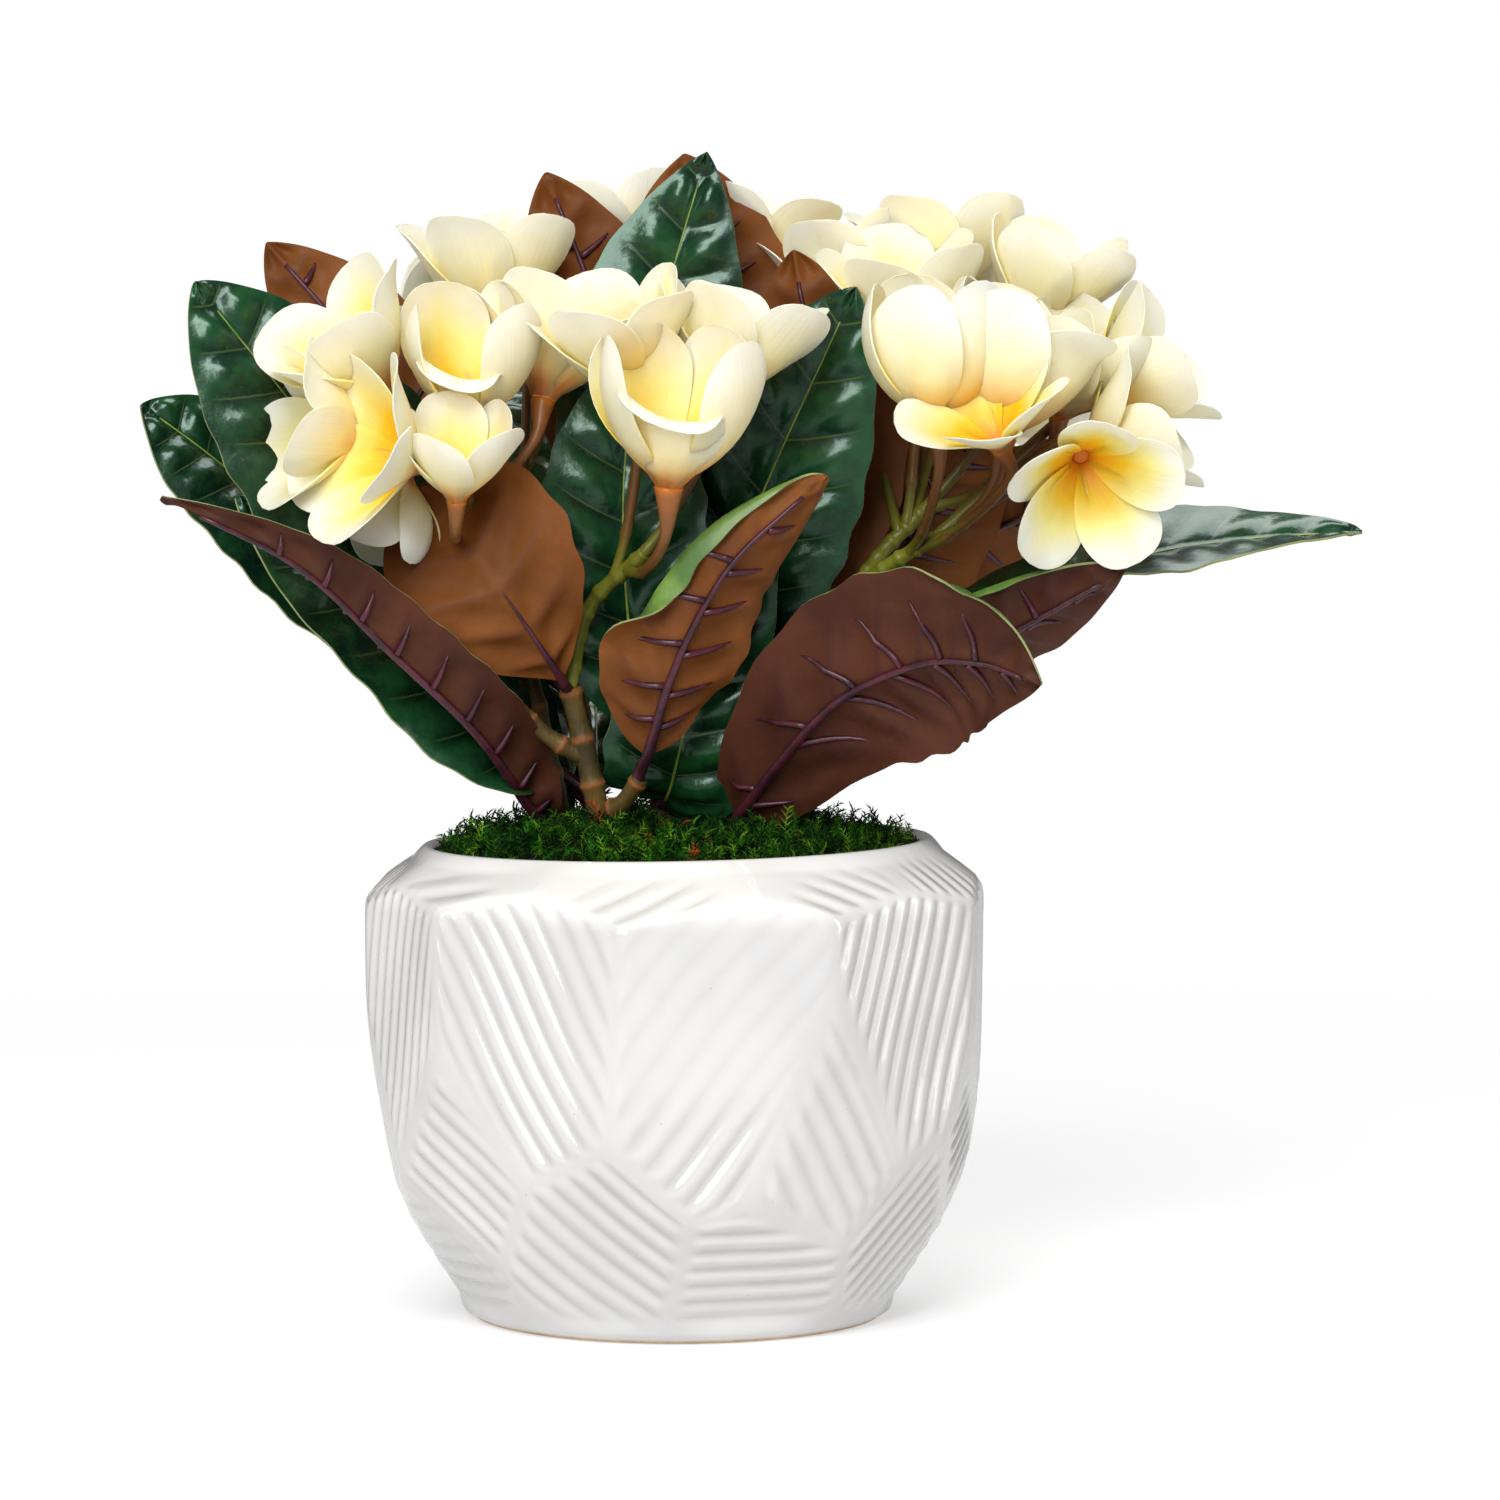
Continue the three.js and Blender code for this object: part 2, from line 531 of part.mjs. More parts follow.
// The stalk and orange funnel of a bloom, from its root on the head's stalk to its throat
function funnelSolid(bloom, frame, root, grow) {
  const length = funnelLength * bloom.size;
  const foot = frame.throat.clone().addScaledVector(frame.axis, -length);
  const bend = root.clone().lerp(foot, 0.5).addScaledVector(frame.axis, -length * 0.3);
  const top = frame.throat.clone().addScaledVector(frame.axis, throatSink);
  const radiusAt = (share) => {
    const flare = Math.max(0, (share - funnelFrom) / (1 - funnelFrom)) ** 0.8;
    return THREE.MathUtils.lerp(pedicelRadius, funnelRadius * bloom.size, flare);
  };
  return solidOf(limb([root, bend, foot, top], radiusAt, 3, 3, grow));
}

function headSolid(head, grow) {
  const knee = vector(head.knee);
  const fork = vector(head.fork);
  let solid = solidOf(limb([head.start, knee, fork], () => peduncleRadius, 6, 4, grow));
  head.blooms.forEach((bloom, index) => {
    const frame = bloomFrame(bloom);
    const root = knee.clone().lerp(fork, firstRoot + (rootSpread * index) / (head.blooms.length - 1));
    solid = solid.add(funnelSolid(bloom, frame, root, grow)).add(cupSolid(bloom, frame, grow));
  });
  return solid;
}

// Leaves of the back get their midrib and upper side from their azimuth
function backLeaf(spec, index) {
  const turn = radians(spec.azimuth);
  const on = spec.azimuth < 0 ? 'back_left_stem' : 'back_right_stem';
  const start = stemPoint(on, spec.start);
  const outward = new THREE.Vector3(Math.sin(turn), Math.cos(turn), 0);
  const route = backLeafRoute.map(([share, rise]) => start.clone()
    .addScaledVector(outward, spec.out * share)
    .addScaledVector(upward, spec.up * rise)
    .toArray());
  const tip = route.pop();
  const face = upward.clone().addScaledVector(outward, -0.5).toArray();
  return { ...backLeafShape, name: `leaf_back_${index + 1}`, on, up: spec.start, via: route, tip, face };
}

const limbs = [...stems, ...branches];

function stemPoint(name, share) {
  return routeThrough(limbs.find((stem) => stem.name === name).points).getPoint(share);
}

for (const stem of limbs) {
  stem.points = stem.route.map(vector);
  if (stem.on) {
    stem.points.unshift(stemPoint(stem.on, stem.up));
  }
}

// Every piece in the order in which pieces give way: a later one is cut clear of those before it.
// A leaf whose upper side is turned to the back shows its brown underside
const pieces = [];
for (const stem of limbs) {
  pieces.push({ name: stem.name, finish: 'stem', solid: (grow) => stemSolid(stem, grow) });
}
for (const head of heads) {
  head.start = stemPoint(head.on, 1);
  pieces.push({ name: head.name, finish: 'petal', solid: (grow) => headSolid(head, grow) });
}
for (const leaf of [...leaves, ...backLeaves.map(backLeaf)]) {
  leaf.start = stemPoint(leaf.on, leaf.up);
  const finish = leaf.face[1] > 0.5 ? 'leafUnder' : 'leafUpper';
  pieces.push({ name: leaf.name, finish, solid: (grow) => leafSolid(leaf, grow) });
}
pieces.push({ name: 'pot_filling', finish: 'filling', solid: fillSolid });
pieces.push({ name: 'moss_bed', finish: 'moss', solid: mossSolid });

function boxesMeet(one, other) {
  return [0, 1, 2].every((axis) => one.min[axis] < other.max[axis] && other.min[axis] < one.max[axis]);
}

function largestBody(solid) {
  return solid.decompose().reduce((best, body) => (body.volume() > best.volume() ? body : best));
}

const group = new THREE.Group();

function addPiece(name, finish, solid) {
  const material = new THREE.MeshStandardMaterial(finishes[finish]);
  const mesh = new THREE.Mesh(geometryOf(solid), material);
  mesh.name = name;
  group.add(mesh);
}

addPiece('pot', 'glaze', potSolid());
const placed = [];
for (const piece of pieces) {
  const whole = piece.solid(0);
  let solid = whole;
  for (const taken of placed) {
    if (boxesMeet(solid.boundingBox(), taken.boundingBox())) {
      solid = solid.subtract(taken);
    }
  }
  placed.push(whole.add(piece.solid(seat)));
  addPiece(piece.name, piece.finish, largestBody(solid));
}

export default group;
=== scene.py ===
import random
from math import atan, cos, degrees, exp, floor, hypot, pi, radians, sin, sqrt, tan, tau

import bmesh
import bpy
import numpy
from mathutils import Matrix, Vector, noise


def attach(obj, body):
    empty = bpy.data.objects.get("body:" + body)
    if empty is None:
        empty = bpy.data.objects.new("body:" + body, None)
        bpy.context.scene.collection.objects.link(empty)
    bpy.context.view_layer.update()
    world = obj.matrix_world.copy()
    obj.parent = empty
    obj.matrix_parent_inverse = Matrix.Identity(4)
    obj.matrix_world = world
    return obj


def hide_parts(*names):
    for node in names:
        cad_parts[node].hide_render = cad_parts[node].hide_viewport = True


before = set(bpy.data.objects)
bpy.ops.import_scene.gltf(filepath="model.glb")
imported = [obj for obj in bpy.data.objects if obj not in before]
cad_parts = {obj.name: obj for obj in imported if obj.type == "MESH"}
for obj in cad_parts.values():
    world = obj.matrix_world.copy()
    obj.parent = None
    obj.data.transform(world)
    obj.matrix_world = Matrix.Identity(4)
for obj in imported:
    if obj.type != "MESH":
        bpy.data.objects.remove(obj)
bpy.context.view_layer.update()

scene = bpy.context.scene
millimetre = 0.001
upward = Vector((0, 0, 1))


# Small helpers. Plans are in millimetres and degrees but where a note says metres, meshes in metres.

def point(place):
    return Vector(place) * millimetre


def mix(low, high, share):
    return low + (high - low) * share


def limit(value, low=0.0, high=1.0):
    return max(low, min(high, value))


def soften(low, high, value):
    share = limit((value - low) / (high - low))
    return share * share * (3 - 2 * share)


def bell(distance, width):
    return exp(-(distance / width) ** 2)


def sideways(direction, reference):
    return (reference - direction * reference.dot(direction)).normalized()


def outlineAt(share, rise, fall):  # half width along a blade or petal, 1 where it is widest
    widest = rise / (rise + fall)
    return share ** rise * (1 - share) ** fall / (widest ** rise * (1 - widest) ** fall)


def routePoint(points, share):  # on a smooth route through all the points
    last = len(points) - 1
    step = min(int(share * last), last - 1)
    rest = share * last - step
    here, there = points[step], points[step + 1]
    before = points[step - 1] if step > 0 else here * 2 - there
    after = points[step + 2] if step + 2 <= last else there * 2 - here
    start, end = (there - before) / 2, (after - here) / 2
    bend = here * -3 + there * 3 - start * 2 - end
    turn = here * 2 - there * 2 + start + end
    return here + start * rest + bend * rest ** 2 + turn * rest ** 3


def routeTangent(points, share):
    step = 0.0001
    return (routePoint(points, min(1, share + step)) - routePoint(points, max(0, share - step))).normalized()


def routeLength(points, steps):
    return sum((routePoint(points, (step + 1) / steps) - routePoint(points, step / steps)).length
               for step in range(steps))


def vertsIn(items):
    return [item for item in items if isinstance(item, bmesh.types.BMVert)]


def facesAt(verts):
    return list(dict.fromkeys(face for vert in verts for face in vert.link_faces))


def linkPiece(name, mesh, materials, nodes):
    for material in materials:
        mesh.materials.append(material)
    piece = bpy.data.objects.new(name, mesh)
    scene.collection.objects.link(piece)
    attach(piece, "root")
    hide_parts(*nodes)
    return piece


def newPiece(name, bm, materials, nodes):
    mesh = bpy.data.meshes.new(name)
    bm.to_mesh(mesh)
    bm.free()
    mesh.shade_smooth()
    return linkPiece(name, mesh, materials, nodes)


def spinProfile(bm, profile, turns):  # a closed body from its radii and heights
    chain = [bm.verts.new((0, -radius, height)) for radius, height in profile]
    edges = [bm.edges.new(pair) for pair in zip(chain, chain[1:])]
    bmesh.ops.spin(bm, geom=chain + edges, cent=(0, 0, 0), axis=(0, 0, 1), angle=tau, steps=turns,
                   use_merge=True)
    poles = [vert for vert in bm.verts if hypot(vert.co.x, vert.co.y) < 1e-4]
    bmesh.ops.remove_doubles(bm, verts=poles, dist=1e-4)
    bmesh.ops.recalc_face_normals(bm, faces=bm.faces[:])


def tube(bm, points, radiusAt, sides, rows, skin=0, marks=()):  # a closed tube along a route
    made = bmesh.ops.create_cone(bm, cap_ends=True, segments=sides, radius1=1, radius2=1, depth=1)["verts"]
    edges = dict.fromkeys(edge for vert in made for edge in vert.link_edges)
    rails = [edge for edge in edges if abs(edge.verts[0].co.z - edge.verts[1].co.z) > 0.5]
    cut = bmesh.ops.subdivide_edges(bm, edges=rails, cuts=rows - 1, use_grid_fill=True)
    verts = list(dict.fromkeys(
        near for vert in vertsIn(cut["geom"]) for edge in vert.link_edges for near in edge.verts))
    for face in facesAt(verts):
        face.material_index = skin
    frames = {}
    reference = Vector((0.2, 1, 0.1))
    for vert in verts:
        share = round(vert.co.z + 0.5, 4)
        if share not in frames:
            tangent = routeTangent(points, share)
            across = sideways(tangent, reference)
            frames[share] = (routePoint(points, share), across, tangent.cross(across), radiusAt(share))
        middle, across, other, radius = frames[share]
        for layer, markAt in marks:
            vert[layer] = markAt(share)
        vert.co = middle + across * (vert.co.x * radius) + other * (vert.co.y * radius)
    return verts


def flatSheet(bm, columns, rows, mapLayer, skins, mapAt):  # a thin closed sheet: x across, y along, z up
    lower = bmesh.ops.create_grid(bm, x_segments=columns, y_segments=rows, size=1)["verts"]
    under = facesAt(lower)
    upper = vertsIn(bmesh.ops.extrude_face_region(bm, geom=under, use_keep_orig=True)["geom"])
    bmesh.ops.translate(bm, verts=upper, vec=upward)
    bmesh.ops.reverse_faces(bm, faces=under)
    verts = lower + upper
    for face in facesAt(verts):
        heights = [vert.co.z for vert in face.verts]
        side = 0 if min(heights) > 0.5 else 1 if max(heights) < 0.5 else 2
        face.material_index = skins[side]
        for loop in face.loops:
            loop[mapLayer].uv = mapAt(loop.vert.co.x, loop.vert.co.y)
        for edge in face.edges if side == 2 else ():
            edge.smooth = abs(edge.verts[0].co.z - edge.verts[1].co.z) > 0.5
    return verts


# Material helpers

def tint(*levels):
    shares = [level / 255 for level in levels]
    return (*(share / 12.92 if share <= 0.04045 else ((share + 0.055) / 1.055) ** 2.4 for share in shares), 1)


def addNode(tree, kind, values=None, **settings):
    node = tree.nodes.new("ShaderNode" + kind)
    for key, value in settings.items():
        setattr(node, key, value)
    for key, value in (values or {}).items():
        if isinstance(value, bpy.types.NodeSocket):
            tree.links.new(value, node.inputs[key])
        else:
            node.inputs[key].default_value = value
    return node


def maths(tree, operation, first, second=0.0, third=0.5):
    return addNode(tree, "Math", {0: first, 1: second, 2: third}, operation=operation).outputs[0]


def centred(tree, value, strength):  # a noise from 0 to 1, moved to lie about 0
    return maths(tree, "MULTIPLY", maths(tree, "SUBTRACT", value, 0.5), strength)


def smoothRange(tree, value, low, high):
    values = {"Value": value, "From Min": low, "From Max": high}
    return addNode(tree, "MapRange", values, interpolation_type="SMOOTHSTEP").outputs["Result"]


def blendColors(tree, share, first, second, blend="MIX"):
    values = {0: share, 6: first, 7: second}
    return addNode(tree, "Mix", values, data_type="RGBA", blend_type=blend).outputs[2]


def ramp(tree, share, stops):
    node = addNode(tree, "ValToRGB", {"Fac": share})
    elements = node.color_ramp.elements
    while len(elements) < len(stops):
        elements.new(0.5)
    for element, (place, *levels) in zip(elements, stops):
        element.position = place
        element.color = tint(*levels)
    return node.outputs["Color"]


def objectPlace(tree):
    return addNode(tree, "TexCoord").outputs["Object"]


def mapOf(tree, name):
    return addNode(tree, "UVMap", uv_map=name).outputs["UV"]


def markOf(tree, name):
    return addNode(tree, "Attribute", attribute_name=name).outputs["Fac"]


def partsOf(tree, vector):
    return addNode(tree, "SeparateXYZ", {"Vector": vector}).outputs


def stretched(tree, place, scale):
    return addNode(tree, "Mapping", {"Vector": place, "Scale": scale}).outputs["Vector"]


def noiseAt(tree, place, size, detail):
    return addNode(tree, "TexNoise", {"Vector": place, "Scale": size, "Detail": detail}).outputs["Fac"]


def grain(tree, size, detail=3.0):
    return noiseAt(tree, objectPlace(tree), size, detail)


def newMaterial(name, **values):
    material = bpy.data.materials.new(name)
    material.use_nodes = True
    tree = material.node_tree
    tree.nodes.clear()
    inputs = {key.replace("_", " "): value for key, value in values.items()}
    shader = addNode(tree, "BsdfPrincipled", inputs)
    addNode(tree, "OutputMaterial", {"Surface": shader.outputs["BSDF"]})
    return material, tree, shader


def dress(tree, shader, color, height=None, distance=0.0003, strength=1.0):
    tree.links.new(color, shader.inputs["Base Color"])
    if height is not None:
        bump = addNode(tree, "Bump", {"Height": height, "Distance": distance, "Strength": strength})
        tree.links.new(bump.outputs["Normal"], shader.inputs["Normal"])


def newGroup(name, inputs, output, kind):
    group = bpy.data.node_groups.new(name, "ShaderNodeTree")
    for label, inputKind in inputs.items():
        group.interface.new_socket(label, in_out="INPUT", socket_type="NodeSocket" + inputKind)
    group.interface.new_socket(output, in_out="OUTPUT", socket_type="NodeSocket" + kind)
    return group, group.nodes.new("NodeGroupInput").outputs, group.nodes.new("NodeGroupOutput").inputs


def buildMottle():  # two tones in soft patches
    inputs = {"Place": "Vector", "Size": "Float", "Light": "Color", "Dark": "Color"}
    group, inlet, outlet = newGroup("mottle", inputs, "Color", "Color")
    place = {"Vector": inlet["Place"], "Scale": inlet["Size"], "Detail": 4.0, "Roughness": 0.6}
    patches = addNode(group, "TexNoise", place).outputs["Fac"]
    mask = smoothRange(group, patches, 0.35, 0.65)
    group.links.new(blendColors(group, mask, inlet["Dark"], inlet["Light"]), outlet["Color"])
    return group


def buildRibs():  # lines along the side ribs, from a leaf's own map
    group, inlet, outlet = newGroup("ribs", {"Map": "Vector", "Width": "Float"}, "Side ribs", "Float")
    parts = partsOf(group, inlet["Map"])
    nearest = maths(group, "PINGPONG", parts["X"], 0.5)
    line = maths(group, "SUBTRACT", 1.0, smoothRange(group, nearest, 0.0, inlet["Width"]))
    across = maths(group, "ABSOLUTE", parts["Y"])
    reach = maths(group, "SUBTRACT", 1.0, smoothRange(group, across, 0.55, 0.95))
    group.links.new(maths(group, "MULTIPLY", line, reach), outlet["Side ribs"])
    return group


mottleGroup = buildMottle()
ribsGroup = buildRibs()


def mottle(tree, size, light, dark):
    values = {"Place": objectPlace(tree), "Size": size, "Light": light, "Dark": dark}
    return addNode(tree, "Group", values, node_tree=mottleGroup).outputs["Color"]


def ribs(tree, width, strength):
    values = {"Map": mapOf(tree, "leafMap"), "Width": width}
    lines = addNode(tree, "Group", values, node_tree=ribsGroup).outputs["Side ribs"]
    return maths(tree, "MULTIPLY", lines, strength)


def mottledMaterial(name, size, light, dark, bump=None, **values):  # bump: grain size, depth, strength
    material, tree, shader = newMaterial(name, **values)
    color = mottle(tree, size, tint(*light), tint(*dark))
    if bump:
        dress(tree, shader, color, grain(tree, bump[0]), *bump[1:])
    else:
        dress(tree, shader, color)
    return material


# Camera, floor and light

cameraPlan = {"eye": (29.2, -2500, 400), "target": (29.2, 0, 227), "lens": 150, "farClip": 60}
lightTarget = (0, 0, 230)
lightPlan = {
    "frontKey": {"place": (-600, -2550, 1150), "size": (1000, 1000), "power": 33},
    "topFront": {"place": (-200, -1650, 1700), "size": (1200, 700), "power": 31},
    "leftStrip": {"place": (-1500, -300, 500), "size": (150, 1400), "power": 2},
    "rightStrip": {"place": (1500, -500, 450), "size": (220, 1400), "power": 4},
    "topBack": {"place": (100, 700, 1700), "size": (1200, 900), "power": 16},
}
stagePlan = {"near": 0.48, "far": 1.0, "sky": 0.16, "bounce": 0.55, "paint": 0.6,
             "fadeFrom": 0.2, "fadeTo": 1.4, "size": 12}  # the last three in metres


def lookAt(item, eye, target):
    item.location = point(eye)
    item.rotation_euler = (point(target) - item.location).to_track_quat("-Z", "Y").to_euler()
    scene.collection.objects.link(item)


def makeCamera(plan):
    data = bpy.data.cameras.new("photoCamera")
    data.lens = plan["lens"]
    data.clip_end = plan["farClip"]
    camera = bpy.data.objects.new("photoCamera", data)
    lookAt(camera, plan["eye"], plan["target"])
    scene.camera = camera


def makeLights(plan):
    for name, spec in plan.items():
        data = bpy.data.lights.new(name, "AREA")
        data.shape = "RECTANGLE"
        data.size, data.size_y = point((*spec["size"], 0)).xy
        data.energy = spec["power"]
        lookAt(bpy.data.objects.new(name, data), spec["place"], lightTarget)


def floorMaterial(plan):  # pale, and ever more self-lit with distance, so that no horizon shows
    material, tree, shader = newMaterial("paleFloor", Roughness=0.9, Specular_IOR_Level=0.0,
                                         Emission_Color=(1, 1, 1, 1))
    away = addNode(tree, "VectorMath", {0: objectPlace(tree)}, operation="LENGTH").outputs["Value"]
    fade = smoothRange(tree, away, plan["fadeFrom"], plan["fadeTo"])
    glow = maths(tree, "ADD", plan["near"], maths(tree, "MULTIPLY", fade, plan["far"] - plan["near"]))
    seen = addNode(tree, "LightPath").outputs["Is Camera Ray"]
    share = maths(tree, "MULTIPLY_ADD", seen, 1 - plan["bounce"], plan["bounce"])
    tree.links.new(maths(tree, "MULTIPLY", glow, share), shader.inputs["Emission Strength"])
    dress(tree, shader, blendColors(tree, fade, (*[plan["paint"]] * 3, 1), (0, 0, 0, 1)))
    return material


def makeStage(plan):
    bm = bmesh.new()
    bmesh.ops.create_grid(bm, x_segments=1, y_segments=1, size=plan["size"])
    mesh = bpy.data.meshes.new("floor")
    bm.to_mesh(mesh)
    bm.free()
    mesh.materials.append(floorMaterial(plan))
    ground = bpy.data.objects.new("floor", mesh)
    scene.collection.objects.link(ground)
    world = bpy.data.worlds.new("studio")
    scene.world = world
    world.use_nodes = True
    tree = world.node_tree
    seen = addNode(tree, "LightPath").outputs["Is Camera Ray"]
    strength = maths(tree, "ADD", plan["sky"], maths(tree, "MULTIPLY", seen, plan["far"] - plan["sky"]))
    tree.links.new(strength, tree.nodes["Background"].inputs["Strength"])
    tree.nodes["Background"].inputs["Color"].default_value = (1, 1, 1, 1)


makeCamera(cameraPlan)
makeLights(lightPlan)
makeStage(stagePlan)
scene.view_settings.view_transform = "Standard"
print("stage is set")


# Pot: a spun barrel drawn in to its flat facets, with flutes carved across each

potPlan = {
    "footRadius": 83, "bellyRadius": 127, "bellyHeight": 123, "bellyPower": 2.6, "shoulderHeight": 172,
    "rimHeight": 190.5, "rimRadius": 103, "rimTilt": 1, "tiltFrom": 150, "tiltOver": 40,
    "barrelProud": 4, "barrelFrom": 3, "barrelRows": 126, "shoulderRows": 22,
    "foot": [(0, 0), (80, 0), (82, 0.4), (83.6, 1.6)], "bareRadius": 84.2, "bareHeight": 1.7,
    "rim": [(102.6, 190.2), (101.6, 190.9), (100.2, 191), (98.8, 190.6), (97.8, 189.6)],
    "inside": [(97.5, 187), (104, 177), (113, 155), (112, 115), (100, 52), (78, 14), (66, 8), (0, 8)],
    "turns": 576, "middleHeight": 95, "carvedFrom": 2.5, "carvedShoulder": 103.5, "wallSkin": 1.5,
    "facetSink": 6, "shoulderSink": 2.5, "shoulderMiddle": 181, "shoulderLean": 52,
    "edgeSoft": 1.5, "edgeMark": 2.2, "edgeBare": 0.6, "edgeFade": 3.0, "fluteDepth": 1.5,
    "shoulderDepth": 0.6, "faint": (10, 107), "faintDepth": 0.3, "faintFrom": 8, "faintOver": 25,
    # each wall facet: azimuth from the front, height, slant of its flutes, and their spacing
    "wallFacets": [
        (-65, 147, 75, 8), (-31, 127, -58, 9), (10, 107, 50, 11), (50, 131, 75, 9), (-47, 71, -38, 9),
        (31, 79, -55, 10), (-17, 35, -47, 9), (19, 22, 4, 9), (57, 43, 55, 8), (-84, 78, -70, 9),
        (-62, 24, 6, 9), (86, 112, -48, 9), (121, 138, 62, 9), (157, 110, -42, 10), (-166, 135, 70, 9),
        (-131, 112, -52, 9), (-99, 142, 40, 9), (78, 74, 30, 9), (106, 66, -64, 9), (141, 78, 48, 9),
        (-177, 70, -36, 10), (-147, 66, 58, 9), (-114, 74, -30, 9), (88, 24, 5, 9), (119, 30, 52, 8),
        (151, 34, -50, 9), (-178, 24, 3, 9), (-146, 28, -55, 9), (-112, 34, 44, 9), (-88, 30, -58, 8),
    ],
    "shoulderFacets": [
        (-50, 20, 14), (-5, 40, 10), (37, -35, 9), (62, -75, 8), (96, 40, 9), (131, -45, 9), (168, 60, 9),
        (-155, -30, 9), (-120, 50, 9), (-86, -60, 9),
    ],
}
glazePlan = {
    "light": (221, 220, 218), "dark": (213, 212, 212), "worn": (198, 190, 176), "wear": 0.12,
    # the shoulder colour is painted light: the band below the rim is whitened for the top light it catches
    "shoulder": (246, 245, 242), "paintedLightShare": 0.85,
    "paintedLightFrom": 0.164, "paintedLightTo": 0.176,  # heights in metres
    "speck": (120, 112, 100), "speckShare": 0.6, "speckCells": 210.0, "speckRare": 0.93, "speckRadius": 0.06,
    # the groove colour is painted shade for the flutes' valleys
    "paintedGrooveShade": (184, 180, 176), "paintedGrooveShare": 0.4, "paintedGrooveSharp": 2.5, "ridgeSharp": 0.6,
}


def barrelAt(height):  # radius and lean of the barrel
    plan = potPlan
    below = max(0, 1 - height / plan["bellyHeight"])
    swell = plan["bellyRadius"] - plan["footRadius"]
    drop = swell * plan["bellyPower"] / plan["bellyHeight"]
    lean = -degrees(atan(drop * below ** (plan["bellyPower"] - 1)))
    return plan["bellyRadius"] - swell * below ** plan["bellyPower"], lean


def facetPlanes():  # azimuth, lean, radius, height, then the flutes' slant, spacing, depth and fading
    plan = potPlan
    planes = []
    for azimuth, height, slant, spacing in plan["wallFacets"]:
        radius, lean = barrelAt(height)
        faint = (azimuth, height) == plan["faint"]
        planes.append((azimuth, lean, radius - plan["facetSink"], height, slant, spacing, 1, faint))
    radius = (plan["bellyRadius"] + plan["rimRadius"]) / 2 - plan["shoulderSink"]
    for azimuth, slant, spacing in plan["shoulderFacets"]:
        planes.append((azimuth, plan["shoulderLean"], radius, plan["shoulderMiddle"], slant, spacing,
                       plan["shoulderDepth"], False))
    return planes


def potProfile():
    plan = potPlan
    profile = list(plan["foot"])
    for height in numpy.linspace(plan["barrelFrom"], plan["shoulderHeight"], plan["barrelRows"]):
        profile.append((barrelAt(height)[0] + plan["barrelProud"] * min(1, height / 20), height))
    for step in range(1, plan["shoulderRows"] + 1):
        share = step / plan["shoulderRows"]
        profile.append((mix(plan["bellyRadius"] + plan["barrelProud"], plan["rimRadius"] + 1, share),
                        mix(plan["shoulderHeight"], plan["rimHeight"] - 1.2, share ** 0.9)))
    return profile + plan["rim"] + plan["inside"]


def carvedShell(places):  # the outer wall, from just above the foot to the rim
    plan = potPlan
    radius, height = numpy.hypot(places[:, 0], places[:, 1]), places[:, 2]
    wallRadius = numpy.array([barrelAt(level)[0] for level in height])
    wall = (radius > wallRadius - plan["wallSkin"]) & (height > plan["carvedFrom"])
    wall &= height < plan["rimHeight"] - 1
    return wall | (height > plan["shoulderHeight"]) & (radius > plan["carvedShoulder"])


def carve(shell):  # places on the facets, edge marks, and each facet's distances and flutes
    plan = potPlan
    centre = numpy.array([0, 0, float(plan["middleHeight"])])
    rays = shell - centre
    reach = numpy.linalg.norm(rays, axis=1)
    rays /= reach[:, None]
    levels = shell[:, 2]
    distances, reliefs, phases, fades = [reach], [0 * reach], [0 * reach], [numpy.ones(len(reach))]
    for azimuth, lean, radius, height, slant, spacing, depth, faint in facetPlanes():
        turn, tilt, slope = radians(azimuth), radians(lean), radians(slant)
        normal = numpy.array([cos(tilt) * sin(turn), -cos(tilt) * cos(turn), sin(tilt)])
        middle = numpy.array([radius * sin(turn), -radius * cos(turn), height])
        facing = rays @ normal
        ahead = ((middle - centre) @ normal) / numpy.maximum(facing, 0.15)
        distance = numpy.where(facing > 0.15, ahead, 1e3)
        distances.append(distance)
        right = numpy.array([cos(turn), sin(turn), 0])
        offset = centre + rays * numpy.minimum(distance, 300)[:, None] - middle
        across, along = offset @ right, offset @ numpy.cross(normal, right)
        line = -across * sin(slope) + along * cos(slope)
        run = across * cos(slope) + along * sin(slope)
        wander = 1.9 * numpy.sin(run / 21 + azimuth) + 1.1 * numpy.sin(line / 17 + azimuth * 2)
        ridge = (0.5 + 0.5 * numpy.cos(tau * (line + wander) / spacing)) ** 0.7
        phases.append((line + wander) / spacing)
        swell = 0.75 + 0.35 * numpy.sin(line / 13 + run / 31 + azimuth * 3)
        below = (height + plan["faintFrom"] - levels) / plan["faintOver"]
        fades.append(numpy.clip(below, plan["faintDepth"], 1) if faint else fades[0])
        reliefs.append(fades[-1] * depth * plan["fluteDepth"] * swell * (ridge - 0.55))
    distances, reliefs = numpy.array(distances), numpy.array(reliefs)
    nearest = distances.min(axis=0)
    weights = numpy.exp(-(distances - nearest) / plan["edgeSoft"])
    total = weights.sum(axis=0)
    smooth = nearest - plan["edgeSoft"] * numpy.log(total)
    second = numpy.sort(distances, axis=0)[1] - nearest
    inner = numpy.clip((second - plan["edgeBare"]) / plan["edgeFade"], 0, 1)
    inner = inner * inner * (3 - 2 * inner)
    foot = numpy.clip((levels - 3) / 10, 0, 1)
    top = numpy.clip((plan["rimHeight"] - levels) / 8, 0, 1)
    shift = smooth + (reliefs * weights).sum(axis=0) / total * inner * foot * top
    settle = numpy.clip((plan["rimHeight"] - 0.6 - levels) / 3.0, 0, 1)
    shift = numpy.where(levels > 180, reach + (shift - reach) * settle, shift)
    low = numpy.clip((levels - plan["carvedFrom"]) / 5.0, 0, 1)
    moved = centre + rays * (reach + (shift - reach) * low)[:, None]
    marks = numpy.clip(1 - second / plan["edgeMark"], 0, 1)
    faded = (numpy.array(fades) * weights).sum(axis=0) / total
    return moved, marks, distances, numpy.array(phases), inner * foot * top * faded


